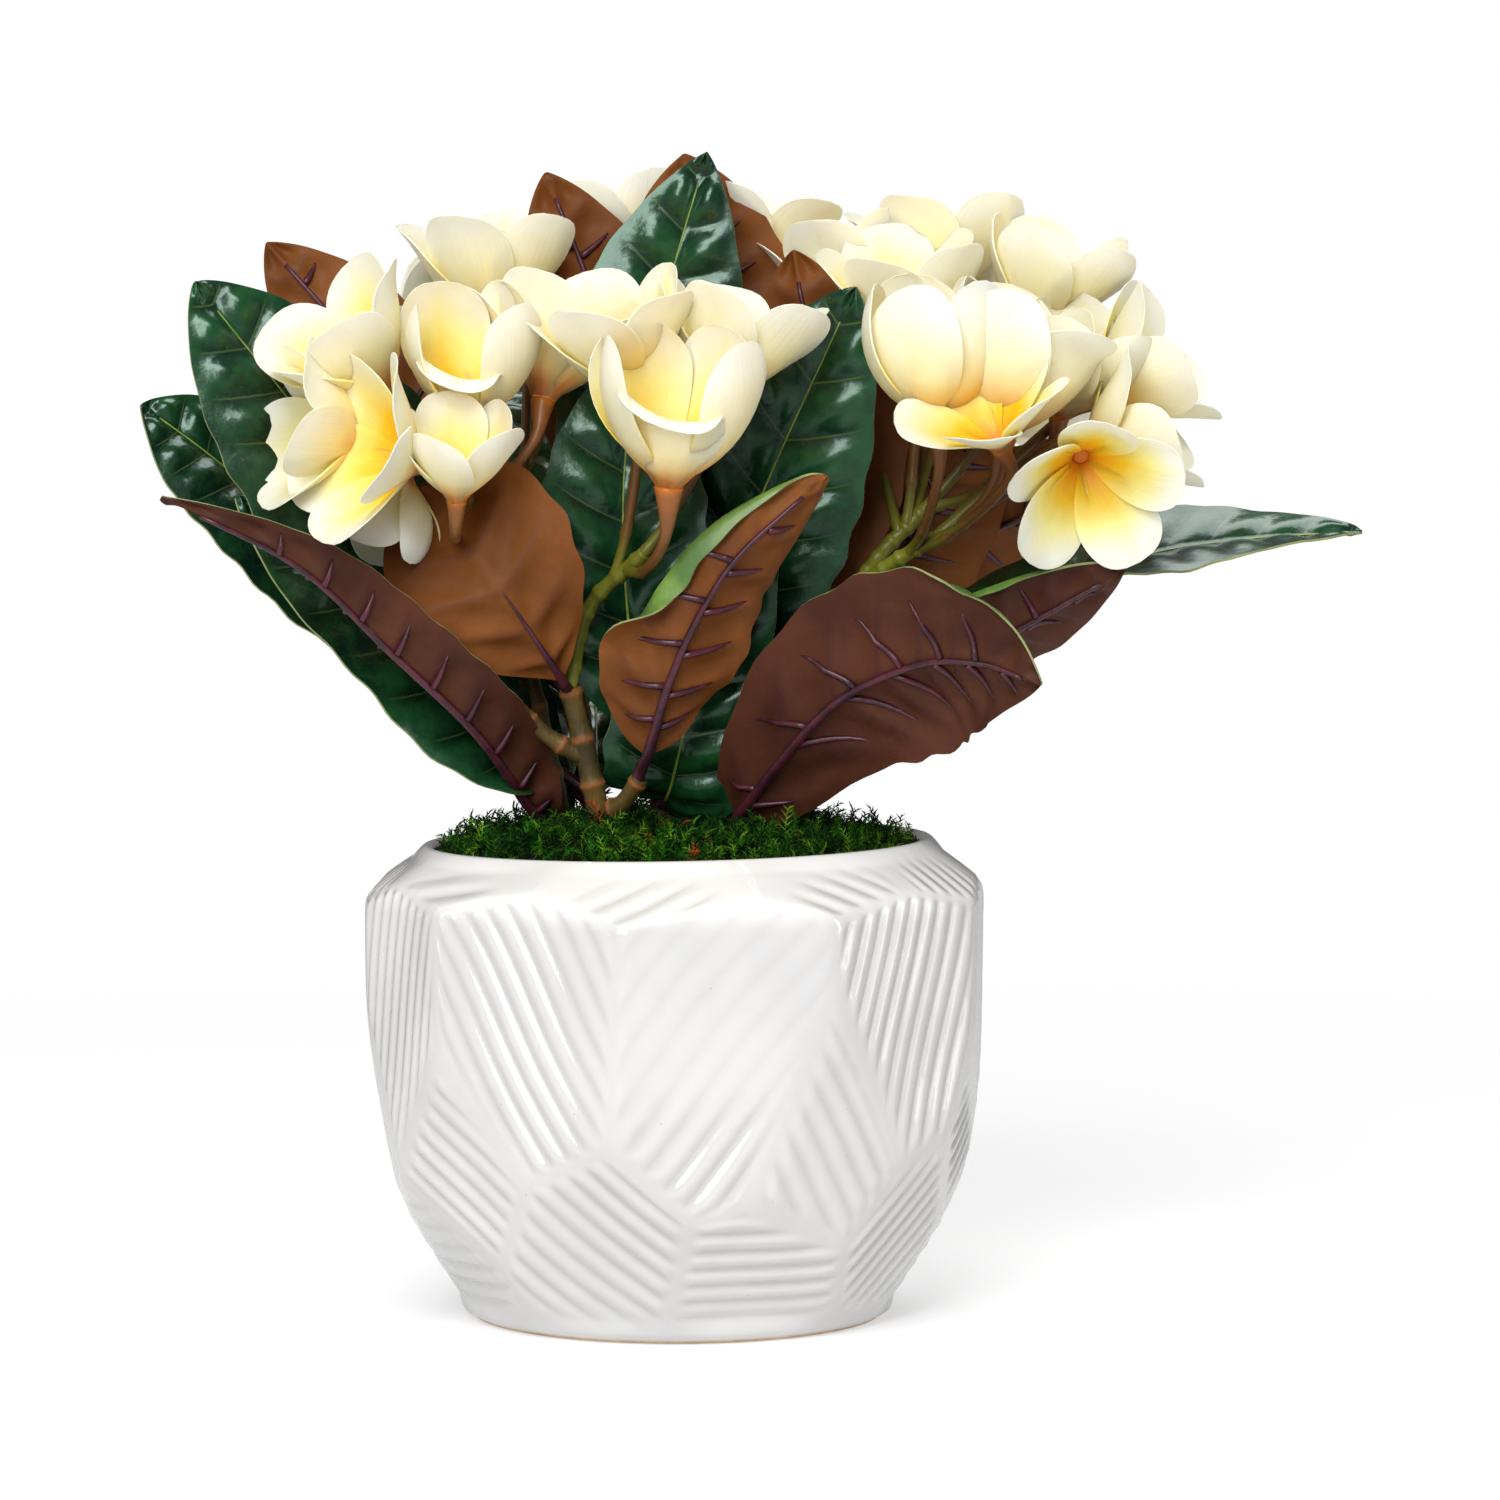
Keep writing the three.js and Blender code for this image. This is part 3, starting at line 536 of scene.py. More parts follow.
def makePot(glaze, clay):
    plan = potPlan
    bm = bmesh.new()
    edgeLayer = bm.verts.layers.float.new("facetEdge")
    spinProfile(bm, potProfile(), plan["turns"])
    verts = bm.verts[:]
    places = numpy.array([vert.co for vert in verts])
    shell = carvedShell(places)
    edgeMarks = numpy.zeros(len(verts))
    places[shell], edgeMarks[shell], distances, phases, strength = carve(places[shell])
    lift = numpy.clip((places[:, 2] - plan["tiltFrom"]) / plan["tiltOver"], 0, 1)
    places[:, 2] += tan(radians(plan["rimTilt"])) * places[:, 0] * lift
    for vert, place, mark in zip(verts, places, edgeMarks):
        vert.co = point(place)
        vert[edgeLayer] = mark
    for face in bm.faces:
        middle = face.calc_center_median() / millimetre
        bare = middle.z < plan["bareHeight"] and hypot(middle.x, middle.y) < plan["bareRadius"]
        face.material_index = 1 if bare else 0
    pot = newPiece("facetedPot", bm, [glaze, clay], ["pot"])
    mapFlutes(pot.data, shell, distances, phases, strength)


def mapFlutes(mesh, shell, distances, phases, fade):  # the flutes' turn on each facet, and their strength
    gaps = numpy.full((len(phases), len(shell)), 1e3)
    turns, strength = numpy.zeros(gaps.shape), numpy.zeros(len(shell))
    gaps[:, shell], turns[:, shell], strength[shell] = distances, phases, fade
    corners = numpy.empty(len(mesh.loops), dtype=numpy.int32)
    starts, sizes = numpy.empty((2, len(mesh.polygons)), dtype=numpy.int32)
    mesh.loops.foreach_get("vertex_index", corners)
    mesh.polygons.foreach_get("loop_start", starts)
    mesh.polygons.foreach_get("loop_total", sizes)
    facet = sum(gaps[:, corners[starts + step]] for step in range(3)).argmin(axis=0)
    values = numpy.stack([turns[numpy.repeat(facet, sizes), corners], strength[corners]], axis=1)
    layer = mesh.uv_layers.new(name="fluteMap")
    layer.data.foreach_set("uv", values.astype(numpy.float32).ravel())


def makeGlaze(plan):
    material, tree, shader = newMaterial("whiteGlaze", Roughness=0.12, IOR=1.5, Coat_Weight=0.8,
                                         Coat_Roughness=0.03, Coat_IOR=1.6)
    color = mottle(tree, 14.0, tint(*plan["light"]), tint(*plan["dark"]))
    wear = maths(tree, "MULTIPLY", markOf(tree, "facetEdge"), plan["wear"])
    color = blendColors(tree, wear, color, tint(*plan["worn"]))
    cells = addNode(tree, "TexVoronoi", {"Vector": objectPlace(tree), "Scale": plan["speckCells"]})
    rare = maths(tree, "GREATER_THAN", partsOf(tree, cells.outputs["Color"])["X"], plan["speckRare"])
    spot = maths(tree, "LESS_THAN", cells.outputs["Distance"], plan["speckRadius"])
    speck = maths(tree, "MULTIPLY", maths(tree, "MULTIPLY", rare, spot), plan["speckShare"])
    color = blendColors(tree, speck, color, tint(*plan["speck"]))
    # painted light: the shoulder band is whitened above the walls, standing in for the top light it catches
    height = partsOf(tree, objectPlace(tree))["Z"]
    high = smoothRange(tree, height, plan["paintedLightFrom"], plan["paintedLightTo"])
    pale = maths(tree, "MULTIPLY", high, plan["paintedLightShare"])
    color = blendColors(tree, pale, color, tint(*plan["shoulder"]))
    flutes = partsOf(tree, mapOf(tree, "fluteMap"))
    wave = maths(tree, "COSINE", maths(tree, "MULTIPLY", flutes["X"], tau))
    # painted shade: the glaze is greyed in the flutes' valleys, standing in for the shade that falls there
    valley = maths(tree, "POWER", maths(tree, "MULTIPLY_ADD", wave, -0.5, 0.5), plan["paintedGrooveSharp"])
    paintedGrooveShade = maths(tree, "MULTIPLY", maths(tree, "MULTIPLY", valley, flutes["Y"]), plan["paintedGrooveShare"])
    color = blendColors(tree, paintedGrooveShade, color, tint(*plan["paintedGrooveShade"]))
    crest = maths(tree, "POWER", maths(tree, "MULTIPLY_ADD", wave, 0.5, 0.5), plan["ridgeSharp"])
    ridge = maths(tree, "MULTIPLY", crest, flutes["Y"])
    uneven = maths(tree, "MULTIPLY", grain(tree, 60.0, 2.0), 0.6)
    dress(tree, shader, color, maths(tree, "ADD", ridge, uneven), 0.0005)
    return material


makePot(makeGlaze(glazePlan), mottledMaterial("bareClay", 120.0, (226, 204, 176), (205, 178, 148),
                                              (900.0, 0.0003), Roughness=0.85))
print("pot is made")


# Filling and moss

mossPlan = {
    "foot": 170.6, "edge": 97.2, "level": 187, "swell": 8, "bumps": 3, "moundWidth": 17, "moundDepth": 19,
    "moundSmall": 11, "turns": 96, "bedSink": 2, "bedRough": 1.5,
    "bedRings": (1, 0.97, 0.93, 0.88, 0.82, 0.75, 0.67, 0.58, 0.48, 0.37, 0.25, 0.12, 0),
    "sprigs": 4000, "seed": 11, "needles": 9, "spineWidth": 0.028, "needleWidth": 0.034, "height": (5, 12),
    "sink": (1.5, 4), "lean": (0.05, 1.35), "overhang": 7, "rimTop": 192, "redShare": 0.009,
    "yellowShare": 0.2, "darkFrom": 0.62,
}


def makeFilling():
    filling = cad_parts["pot_filling"]
    filling.data.materials.clear()
    filling.data.materials.append(mottledMaterial("foamFilling", 220.0, (118, 112, 98), (92, 88, 76),
                                                  (1400.0, 0.0006), Roughness=0.95))


def mossLevel(x, y):
    plan = mossPlan
    inwards = 1 - hypot(x, y) / plan["edge"]
    broad = sin(x / plan["moundWidth"] + 1) * cos(y / plan["moundDepth"])
    mound = broad + sin((x - y) / plan["moundSmall"]) / 2
    return plan["level"] + plan["swell"] * min(1, inwards * 3) + plan["bumps"] * mound * min(1, inwards * 5)


def makeMossBed(material):
    plan = mossPlan
    bm = bmesh.new()
    profile = [(plan["edge"] * share, plan["foot"]) for share in (0, 0.5, 1)]
    profile += [(plan["edge"] * share, plan["level"]) for share in plan["bedRings"]]
    spinProfile(bm, profile, plan["turns"])
    for vert in bm.verts:
        if vert.co.z > plan["level"] - 1:
            inwards = 1 - hypot(vert.co.x, vert.co.y) / plan["edge"]
            rough = noise.noise(vert.co / 6) * plan["bedRough"] * min(1, inwards * 8)
            vert.co.z = mossLevel(vert.co.x, vert.co.y) - plan["bedSink"] + rough
        vert.co *= millimetre
    newPiece("mossBed", bm, [material], ["moss_bed"])


def sprigShape(plan):  # one feathery sprig along +Z, one unit tall: a spine with paired needles
    places, faces = [], []

    def spike(base, tip, width):
        direction = (tip - base).normalized()
        across = sideways(direction, Vector((0.31, 0.83, 0.46)))
        other = direction.cross(across)
        a = len(places)
        for angle in (0, tau / 3, 2 * tau / 3):
            places.append(base + across * (cos(angle) * width) + other * (sin(angle) * width))
        places.append(tip)
        faces.extend([(a, a + 1, a + 3), (a + 1, a + 2, a + 3), (a + 2, a, a + 3), (a + 2, a + 1, a)])

    spine = [Vector(spot) for spot in ((0, 0, 0), (0.05, 0.1, 0.36), (0.02, 0.32, 0.66), (-0.08, 0.62, 0.8))]
    for low, high in zip(spine, spine[1:]):
        spike(low, high + (high - low) * 0.1, plan["spineWidth"])
    for step in range(plan["needles"]):
        share = 0.15 + 0.8 * step / plan["needles"]
        base = routePoint(spine, share)
        side = 1 if step % 2 else -1
        out = (Vector((side, 0.1, 0)) + routeTangent(spine, share) * 0.9).normalized()
        spike(base, base + out * (0.36 - 0.16 * share), plan["needleWidth"])
    return numpy.array(places), numpy.array(faces)


def makeMossSprigs(materials):
    plan = mossPlan
    maker = random.Random(plan["seed"])
    shape, corners = sprigShape(plan)
    places, faces, skins = [], [], []
    while len(skins) < plan["sprigs"]:
        radius = plan["edge"] * sqrt(maker.random())
        turn = maker.random() * tau
        x, y = radius * sin(turn), -radius * cos(turn)
        level = mossLevel(x, y)
        height = maker.uniform(*plan["height"]) * (1.1 + 0.5 * noise.noise(Vector((x, y, 9)) / 15))
        near = radius / plan["edge"]
        if near > 0.93:
            height *= 0.8
        lean = maker.uniform(*plan["lean"])
        azimuth = maker.random() * tau
        if near > 0.9 and maker.random() < 0.6:  # at the rim most sprigs lean outwards
            azimuth = turn + maker.uniform(-0.8, 0.8)
        growth = Vector((sin(lean) * sin(azimuth), -sin(lean) * cos(azimuth), cos(lean)))
        about = Vector((maker.uniform(-1, 1), maker.uniform(-1, 1), maker.uniform(-0.4, 0.4)))
        across = sideways(growth, about)
        axes = numpy.array([across, growth.cross(across), growth])
        moved = (shape * height) @ axes + numpy.array([x, y, level - maker.uniform(*plan["sink"])])
        far = numpy.hypot(moved[:, 0], moved[:, 1])
        inPot = far[moved[:, 2] < plan["rimTop"]]
        if far.max() > plan["edge"] + plan["overhang"] or (inPot > plan["edge"] - 0.2).any():
            continue
        pick = maker.random()
        yellow = plan["yellowShare"] + 0.3 * noise.noise(Vector((x, y, 0)) / 26)
        skin = 3 if pick < plan["redShare"] else 2 if pick < yellow else 0 if pick > plan["darkFrom"] else 1
        faces.append(corners + len(shape) * len(skins))
        places.append(moved)
        skins.append(numpy.full(len(corners), skin))
    mesh = bpy.data.meshes.new("mossSprigs")
    places = numpy.concatenate(places) * millimetre
    mesh.from_pydata(places.tolist(), [], numpy.concatenate(faces).tolist())
    mesh.polygons.foreach_set("material_index", numpy.concatenate(skins).astype(numpy.int32))
    linkPiece("mossSprigs", mesh, materials, ["moss_bed"])


def mossMaterial(name, light, dark):
    return mottledMaterial(name, 90.0, light, dark, Roughness=0.8, Specular_IOR_Level=0.12)


makeFilling()
makeMossBed(mossMaterial("mossGround", (14, 20, 6), (7, 10, 4)))
makeMossSprigs([
    mossMaterial("mossDark", (16, 50, 6), (6, 24, 3)),
    mossMaterial("mossGreen", (38, 98, 10), (16, 54, 6)),
    mossMaterial("mossYellow", (98, 142, 26), (54, 98, 14)),
    mossMaterial("mossRed", (196, 74, 28), (150, 60, 24)),
])
print("moss is made")


# Stems and branches: the route, the radius at foot and top, and how far up the rings lie

stemPlan = {
    "sides": 14, "rows": 84, "ringSwell": 0.16, "ringRidge": 0.08, "ringMark": 1.1, "rough": 0.25,
    "stems": {
        "front_stem": ([(-27, -30, 170.6), (-31, -32, 205), (-42, -34, 254)], 5, 4, (0.3, 0.62, 0.8, 0.98)),
        "centre_stem": ([(-8, 0, 170.6), (-6, 0, 215), (-2, -6, 292)], 5.2, 3.8, (0.35, 0.55, 0.78)),
        "right_stem": ([(20, -6, 170.6), (30, -8, 210), (68, -12, 288)], 5.2, 3.8, (0.3, 0.5, 0.68, 0.86)),
        "left_stem": ([(-44, 4, 170.6), (-50, 0, 215), (-68, -12, 296)], 5, 3.6, (0.32, 0.52, 0.7, 0.88)),
        "back_left_stem": (
            [(-30, 34, 170.6), (-36, 42, 215), (-52, 62, 300)], 5, 3.6, (0.28, 0.46, 0.66, 0.84)),
        "back_right_stem": ([(22, 36, 170.6), (32, 46, 215), (58, 64, 298)], 5, 3.6, (0.3, 0.5, 0.7, 0.86)),
        "left_branch": ([(-52, -36, 236), (-66, -38, 250)], 3.6, 3, (0.3, 0.7)),
        "right_branch": ([(-22, -40, 208), (-14, -46, 219)], 3.8, 3.2, (0.35, 0.92)),
    },
    "branches": {"left_branch": ("front_stem", 0.72), "right_branch": ("front_stem", 0.5)},
}


def stemRoutes():
    routes = {name: [point(place) for place in spec[0]] for name, spec in stemPlan["stems"].items()}
    for name, (stem, up) in stemPlan["branches"].items():
        routes[name].insert(0, routePoint(routes[stem], up))
    return routes


routes = stemRoutes()


def makeStems(material):
    plan = stemPlan
    bm = bmesh.new()
    ringLayer = bm.verts.layers.float.new("ringMark")
    for name, (_, foot, top, rings) in plan["stems"].items():
        points = routes[name]
        length = routeLength(points, 12)

        def nearRing(share):
            return min(abs(share - ring) for ring in rings) * length / millimetre

        def radiusAt(share):
            gap = nearRing(share)
            swell = 1 + plan["ringSwell"] * bell(gap, 2.4) + plan["ringRidge"] * bell(gap, 0.9)
            return mix(foot, top, share) * swell * millimetre

        def markAt(share):
            return bell(nearRing(share), plan["ringMark"])

        middle = routePoint(points, 0.5)
        for vert in tube(bm, points, radiusAt, plan["sides"], plan["rows"], marks=[(ringLayer, markAt)]):
            rough = noise.noise(Vector((vert.co.x * 240, vert.co.y * 240, vert.co.z * 60)))
            vert.co += (vert.co - middle).normalized() * rough * (plan["rough"] * millimetre)
    newPiece("jointedStems", bm, [material], list(plan["stems"]))


def makeStemMaterial():
    material, tree, shader = newMaterial("jointedStem", Roughness=0.5, Specular_IOR_Level=0.3)
    color = mottle(tree, 60.0, tint(92, 72, 30), tint(54, 46, 18))
    ring = maths(tree, "MULTIPLY", markOf(tree, "ringMark"), 0.8)
    lines = noiseAt(tree, stretched(tree, objectPlace(tree), (900, 900, 90)), 1.0, 3.0)
    dress(tree, shader, blendColors(tree, ring, color, tint(146, 88, 46)), lines, 0.0006, 0.6)
    return material


makeStems(makeStemMaterial())
print("stems are made")


# Leaves

leafPlan = {
    "rows": 60, "columns": 20, "crowding": 1.3, "thickness": 1.0, "petioleShare": 0.12,
    "outline": (0.9, 0.76), "slant": (0.3, 0.3), "petiole": 2.9, "midribTip": 0.9, "midline": (0.75, 0.3),
    "ribSpacing": 19, "ribSweep": 0.4, "ribCurve": 0.12, "ribRadius": 1.45, "ribTip": 0.3, "ribReach": 0.64,
    "ribLast": 0.88, "ribShortest": 6, "puff": 2.1, "valley": 1.5, "valleyWidth": 2.6, "crease": 0.9,
    "creaseWidth": 2.5, "pucker": 0.8, "scallop": 0.026, "marginWaves": 2.2, "marginRough": 0.9,
    "foldRadius": 1.8,
}
upperSkin, underSkin, edgeSkin, ribSkin, midlineSkin, foldSkin, darkSkin = range(7)


# its stem, how far up that it starts, the points that the midrib passes up to the tip, the way its upper
# side faces, its width, fold, bend and wave, and what else it has: rise and fall of the outline, the rolled
# margin (side, share, degrees, from, to), slant of the side ribs on either side, a dark underside
def leafSpec(on, up, route, face, wide, fold=12, bend=10, wave=2, **more):
    return dict(on=on, up=up, route=route, face=face, wide=wide, fold=fold, bend=bend, wave=wave, **more)


leaves = {
    "left_long": leafSpec(
        "left_stem", 0.42,
        [(-57, -17, 206), (-78, -50, 238), (-110, -75, 271), (-145, -92, 305), (-196, -105, 332)],
        (0.35, 0.55, 0.75), 43, 50, wave=3, outline=(0.6, 0.9), dark=True),
    "left_inner": leafSpec(
        "left_stem", 0.5, [(-66, -20, 228), (-112, -38, 276), (-172, -48, 330)], (0.2, -0.8, 0.6), 62),
    "left_low": leafSpec(
        "left_stem", 0.56, [(-80, 2, 246), (-135, -8, 300), (-178, -20, 340), (-211, -28, 366)],
        (0.35, -0.8, 0.5), 66, bend=20),
    "left_high": leafSpec(
        "left_stem", 0.68, [(-82, -14, 268), (-135, -32, 345), (-189, -38, 414)], (0.3, -0.9, 0.3), 88,
        bend=20),
    "left_back": leafSpec(
        "left_stem", 0.78, [(-78, 14, 300), (-120, 28, 375), (-166, 34, 430)], (-0.3, 0.9, 0.3), 62, 14),
    "front_brown": leafSpec(
        "front_stem", 0.97, [(-52, -54, 270), (-72, -68, 300), (-100, -48, 334)], (-0.25, 0.9, 0.35),
        76, 10, 20, 1.5, outline=(1.15, 0.48), ribs=0, midrib=0.6),
    "top": leafSpec(
        "centre_stem", 0.86, [(-12, 2, 330), (-8, 6, 392), (12, 8, 466)], (0, -1, 0.15), 76, 14, 20, 1.5,
        outline=(0.85, 0.85)),
    "top_back": leafSpec(
        "centre_stem", 0.8, [(6, 22, 330), (10, 34, 400), (3, 38, 466)], (0.1, 1, 0.1), 84, 14, wave=1.5),
    "top_left": leafSpec(
        "centre_stem", 0.74, [(-18, 12, 320), (-30, 18, 395), (-53, 22, 458)], (-0.1, 1, 0), 62, 14,
        wave=1.5),
    "right_high": leafSpec(
        "centre_stem", 0.58, [(8, -6, 262), (34, -16, 330), (71, -30, 412)], (-0.1, -1, 0.2), 82, bend=20),
    "right_high_back": leafSpec(
        "centre_stem", 0.66, [(24, 8, 275), (56, 18, 350), (47, 22, 427)], (0.2, 1, 0.1), 76, 14),
    "centre_brown": leafSpec(
        "right_branch", 0.9, [(-9, -58, 238), (-3, -68, 258), (9, -74, 285), (26, -78, 310), (59, -76, 339)],
        (-0.2, 0.9, 0.3), 62, 14, -20,
        outline=(0.7, 0.75), roll=(1, 0.44, 165, 0.34, 0.6), slant=(-0.4, 0.5)),
    "behind_stalks": leafSpec(
        "centre_stem", 0.5, [(-17, -20, 262), (-21, -28, 325), (-16, -22, 388)], (0, -1, 0.1), 68),
    "centre_low": leafSpec(
        "centre_stem", 0.4, [(-2, -22, 215), (10, -34, 262), (36, -40, 330)], (0.1, -1, 0.2), 60,
        outline=(0.5, 0.7)),
    "right_brown": leafSpec(
        "right_stem", 0.42,
        [(27, -26, 206), (60, -62, 248), (92, -86, 266), (117, -99, 268), (141, -112, 260)],
        (0.3, 0.85, 0.4), 80, 10,
        outline=(0.95, 0.9), roll=(1, 0.13, 150, 0.6, 0.8), slant=(-0.45, 0.7), dark=True),
    "right_dark": leafSpec(
        "right_stem", 0.5, [(70, -28, 240), (120, -50, 270), (175, -66, 303)], (-0.1, 0.75, 0.65), 58, 20,
        roll=(1, 0.2, 150, 0.2, 0.5), slant=(0, 0.6), dark=True),
    "far_right": leafSpec(
        "right_stem", 0.64, [(84, 8, 255), (150, 14, 293), (210, 10, 309), (274, 0, 315)],
        (-0.1, -0.35, 0.94), 62, 14, wave=3, relief=0.5),
    "far_right_back": leafSpec(
        "back_right_stem", 0.6, [(90, 66, 290), (150, 64, 322), (200, 52, 331)], (0, 0.9, 0.4), 60, 14),
    "right_inner": leafSpec("back_right_stem", 0.72, [(88, 46, 300), (128, 44, 360)], (-0.2, 1, 0.1), 66, 14),
    "left_under": leafSpec(
        "back_left_stem", 0.4, [(-70, 40, 240), (-120, 56, 284), (-165, 70, 318)], (0.2, -0.8, 0.5), 64),
}

# leaves of the back: azimuth from +Y, how far out and up the tip lies, and how high on its stem each starts
backLeaves = [(-64, 104, 62, 0.26), (-42, 150, 84, 0.34), (-22, 150, 108, 0.52), (-2, 150, 72, 0.3),
              (20, 150, 104, 0.5), (46, 146, 84, 0.34), (100, 104, 54, 0.36), (-60, 128, 112, 0.66),
              (-8, 146, 128, 0.7), (38, 146, 118, 0.66)]


def backLeaf(azimuth, out, up, start):
    turn = radians(azimuth)
    on = "back_left_stem" if azimuth < 0 else "back_right_stem"
    foot = routePoint(routes[on], start) / millimetre
    outward = Vector((sin(turn), cos(turn), 0))
    bow = [(0.3, 0.42), (0.64, 0.8), (1, 1)]
    route = [foot + outward * (out * share) + upward * (up * rise) for share, rise in bow]
    return leafSpec(on, start, route, upward - outward * 0.5, 72, 14, 20, 2.5)


def leafRow(leaf, points, face, length, blade):  # middle, across, upper side, half width and how far along
    share = mix(leafPlan["petioleShare"], 1, blade)
    tangent = routeTangent(points, share)
    upper = sideways(tangent, face)
    width = leaf["wide"] / 2 * outlineAt(limit(blade), *leaf.get("outline", leafPlan["outline"]))
    half = max(0.5 * (1 - blade) + 0.25, width)
    return routePoint(points, share) / millimetre, tangent.cross(upper), upper, half, blade * length


def ribPhase(along, out, half):  # counts the side ribs, which lean towards the tip
    plan = leafPlan
    return (along - plan["ribSweep"] * out * half - plan["ribCurve"] * out * out * half) / plan["ribSpacing"]


def leafSurface(leaf, row, blade, v, seed):  # the place and the normal at v across, from -1 to 1
    plan = leafPlan
    middle, across, upper, half, along = row
    side = 1 if v > 0 else -1 if v < 0 else 0
    out = abs(v)
    angle = radians(leaf["fold"] - leaf["bend"] * out / 2) * min(1, blade * 6)
    outwards = across * (side * cos(angle)) + upper * sin(angle)
    normal = upper * cos(angle) - across * (side * sin(angle))
    scallop = plan["scallop"] * out * out * cos(tau * along / plan["ribSpacing"])
    reach = out * half * (1 - scallop * sin(pi * limit(blade)))
    if leaf.get("roll") and side == leaf["roll"][0]:  # a margin rolled over towards the underside
        share, most, low, high = leaf["roll"][1:]
        full = radians(most) * soften(low, high, blade)
        start = (1 - share) * half
        if reach > start and full > 0.01:
            bow = plan["foldRadius"]
            turn = min(full, (reach - start) / bow)
            rest = reach - start - turn * bow
            flat = start + bow * sin(turn) + rest * cos(turn)
            drop = bow * (1 - cos(turn)) + rest * sin(turn)
            return middle + outwards * flat - normal * drop, normal * cos(turn) + outwards * sin(turn)
    wave = leaf["wave"] * out * out * sin(pi * blade)
    ripple = wave * sin(tau * plan["marginWaves"] * blade + side)
    rough = plan["marginRough"] * out ** 3 * noise.noise(Vector((along / 14, side * 3 + out, seed)))
    ripple += rough * min(1, blade * 8)
    phase = ribPhase(along, out, half)
    gap = abs(phase - round(phase)) * plan["ribSpacing"]
    fade = 1 - soften(0.5, 0.98, out)
    quilt = plan["puff"] * sin(pi * min(1, out * 1.15)) * sin(pi * (phase - floor(phase))) ** 2
    dent = plan["valley"] * bell(gap, plan["valleyWidth"]) * soften(0, 0.2, out)
    crease = plan["crease"] * bell(out * half, plan["creaseWidth"])
    puckers = plan["pucker"] * noise.noise(Vector((along / 13, v * half / 11, seed + 5)))
    relief = (quilt - dent + puckers) * leaf.get("relief", 1) * fade * soften(0.02, 0.12, blade) - crease
    return middle + outwards * reach + normal * (ripple + relief), normal


def addLeaf(bm, leaf, seed):
    plan = leafPlan
    mapLayer = bm.loops.layers.uv.new("leafMap")
    points = [routePoint(routes[leaf["on"]], leaf["up"])] + [point(place) for place in leaf["route"]]
    face = Vector(leaf["face"]).normalized()
    length = routeLength(points, 20) / millimetre * 0.9
    rows = {}

    def rowAt(blade):
        if blade not in rows:
            rows[blade] = leafRow(leaf, points, face, length, blade)
        return rows[blade]

    def bladeAt(y):  # the rows stand closer together towards the tip
        return round(1 - (1 - (y + 1) / 2) ** plan["crowding"], 5)

    def mapAt(x, y):
        blade = bladeAt(y)
        return ribPhase(blade * length, abs(x), rowAt(blade)[3]), x

    def under(blade, v, lift):
        place, normal = leafSurface(leaf, rowAt(blade), blade, v, seed)
        return point(place - normal * lift)

    skins = (upperSkin, darkSkin if leaf.get("dark") else underSkin, edgeSkin)
    for vert in flatSheet(bm, plan["columns"], plan["rows"], mapLayer, skins, mapAt):
        blade = bladeAt(vert.co.y)
        place, normal = leafSurface(leaf, rowAt(blade), blade, round(vert.co.x, 5), seed)
        vert.co = point(place + normal * (plan["thickness"] * (vert.co.z - 0.5)))
    if leaf.get("roll"):
        side, share = leaf["roll"][:2]
        for facet in bm.faces:
            across = [loop[mapLayer].uv.y * side for loop in facet.loops]
            if facet.material_index == upperSkin and min(across) > 1 - share * 1.05:
                facet.material_index = foldSkin
    addMidrib(bm, leaf, points, under)
    if leaf.get("ribs", 1):
        addSideRibs(bm, leaf, length, rowAt, under)


def addMidrib(bm, leaf, points, under):  # the petiole and midrib beneath, and a pale line above
    plan = leafPlan
    reach = leaf.get("midrib", 1)

    def radiusAt(share):
        return mix(plan["petiole"], plan["midribTip"] * reach ** 2, share ** 0.6)

    spine = [routePoint(points, share) for share in (0.0, 0.06)]
    spine += [under(step / 16 * reach, 0.0, radiusAt((step + 2) / 17) - 0.2) for step in range(16)]
    tube(bm, spine, lambda share: radiusAt(share) * millimetre, 8, 40, skin=ribSkin)
    start, end = plan["midline"]
    line = [under(blade / 16, 0.0, -start) for blade in range(1, 16)]
    tube(bm, line, lambda share: mix(start, end, share) * millimetre, 5, 28, skin=midlineSkin)


def addSideRibs(bm, leaf, length, rowAt, under):
    plan = leafPlan
    slants = leaf.get("slant", plan["slant"])
    count = int(length / plan["ribSpacing"])

    def radiusAt(share):
        return mix(plan["ribRadius"], plan["ribTip"], share ** 2)

    def bladeBy(blade):
        return round(limit(blade, 0.02, 0.97), 5)

    for step in range(1, count):
        for side, early, slant in ((-1, -0.1, slants[1]), (1, 0.18, slants[0])):
            start = (step + early) / count
            half = rowAt(bladeBy(start))[3]
            route = []
            for move in range(5):
                out = 0.02 + plan["ribReach"] * move / 4
                ahead = (slant * out + 0.1 * out * out) * half / length
                route.append(under(bladeBy(start + ahead), side * out, radiusAt(move / 4) - 0.15))
            if start < plan["ribLast"] and (route[0] - route[-1]).length > plan["ribShortest"] * millimetre:
                tube(bm, route, lambda share: radiusAt(share) * millimetre, 6, 6, skin=ribSkin)


def makeLeaves(materials):
    plans = {**leaves, **{f"back_{index + 1}": backLeaf(*spec) for index, spec in enumerate(backLeaves)}}
    for seed, (name, leaf) in enumerate(plans.items()):
        bm = bmesh.new()
        addLeaf(bm, leaf, seed * 7.3)
        newPiece(f"leaf_{name}_fine", bm, materials, ["leaf_" + name])


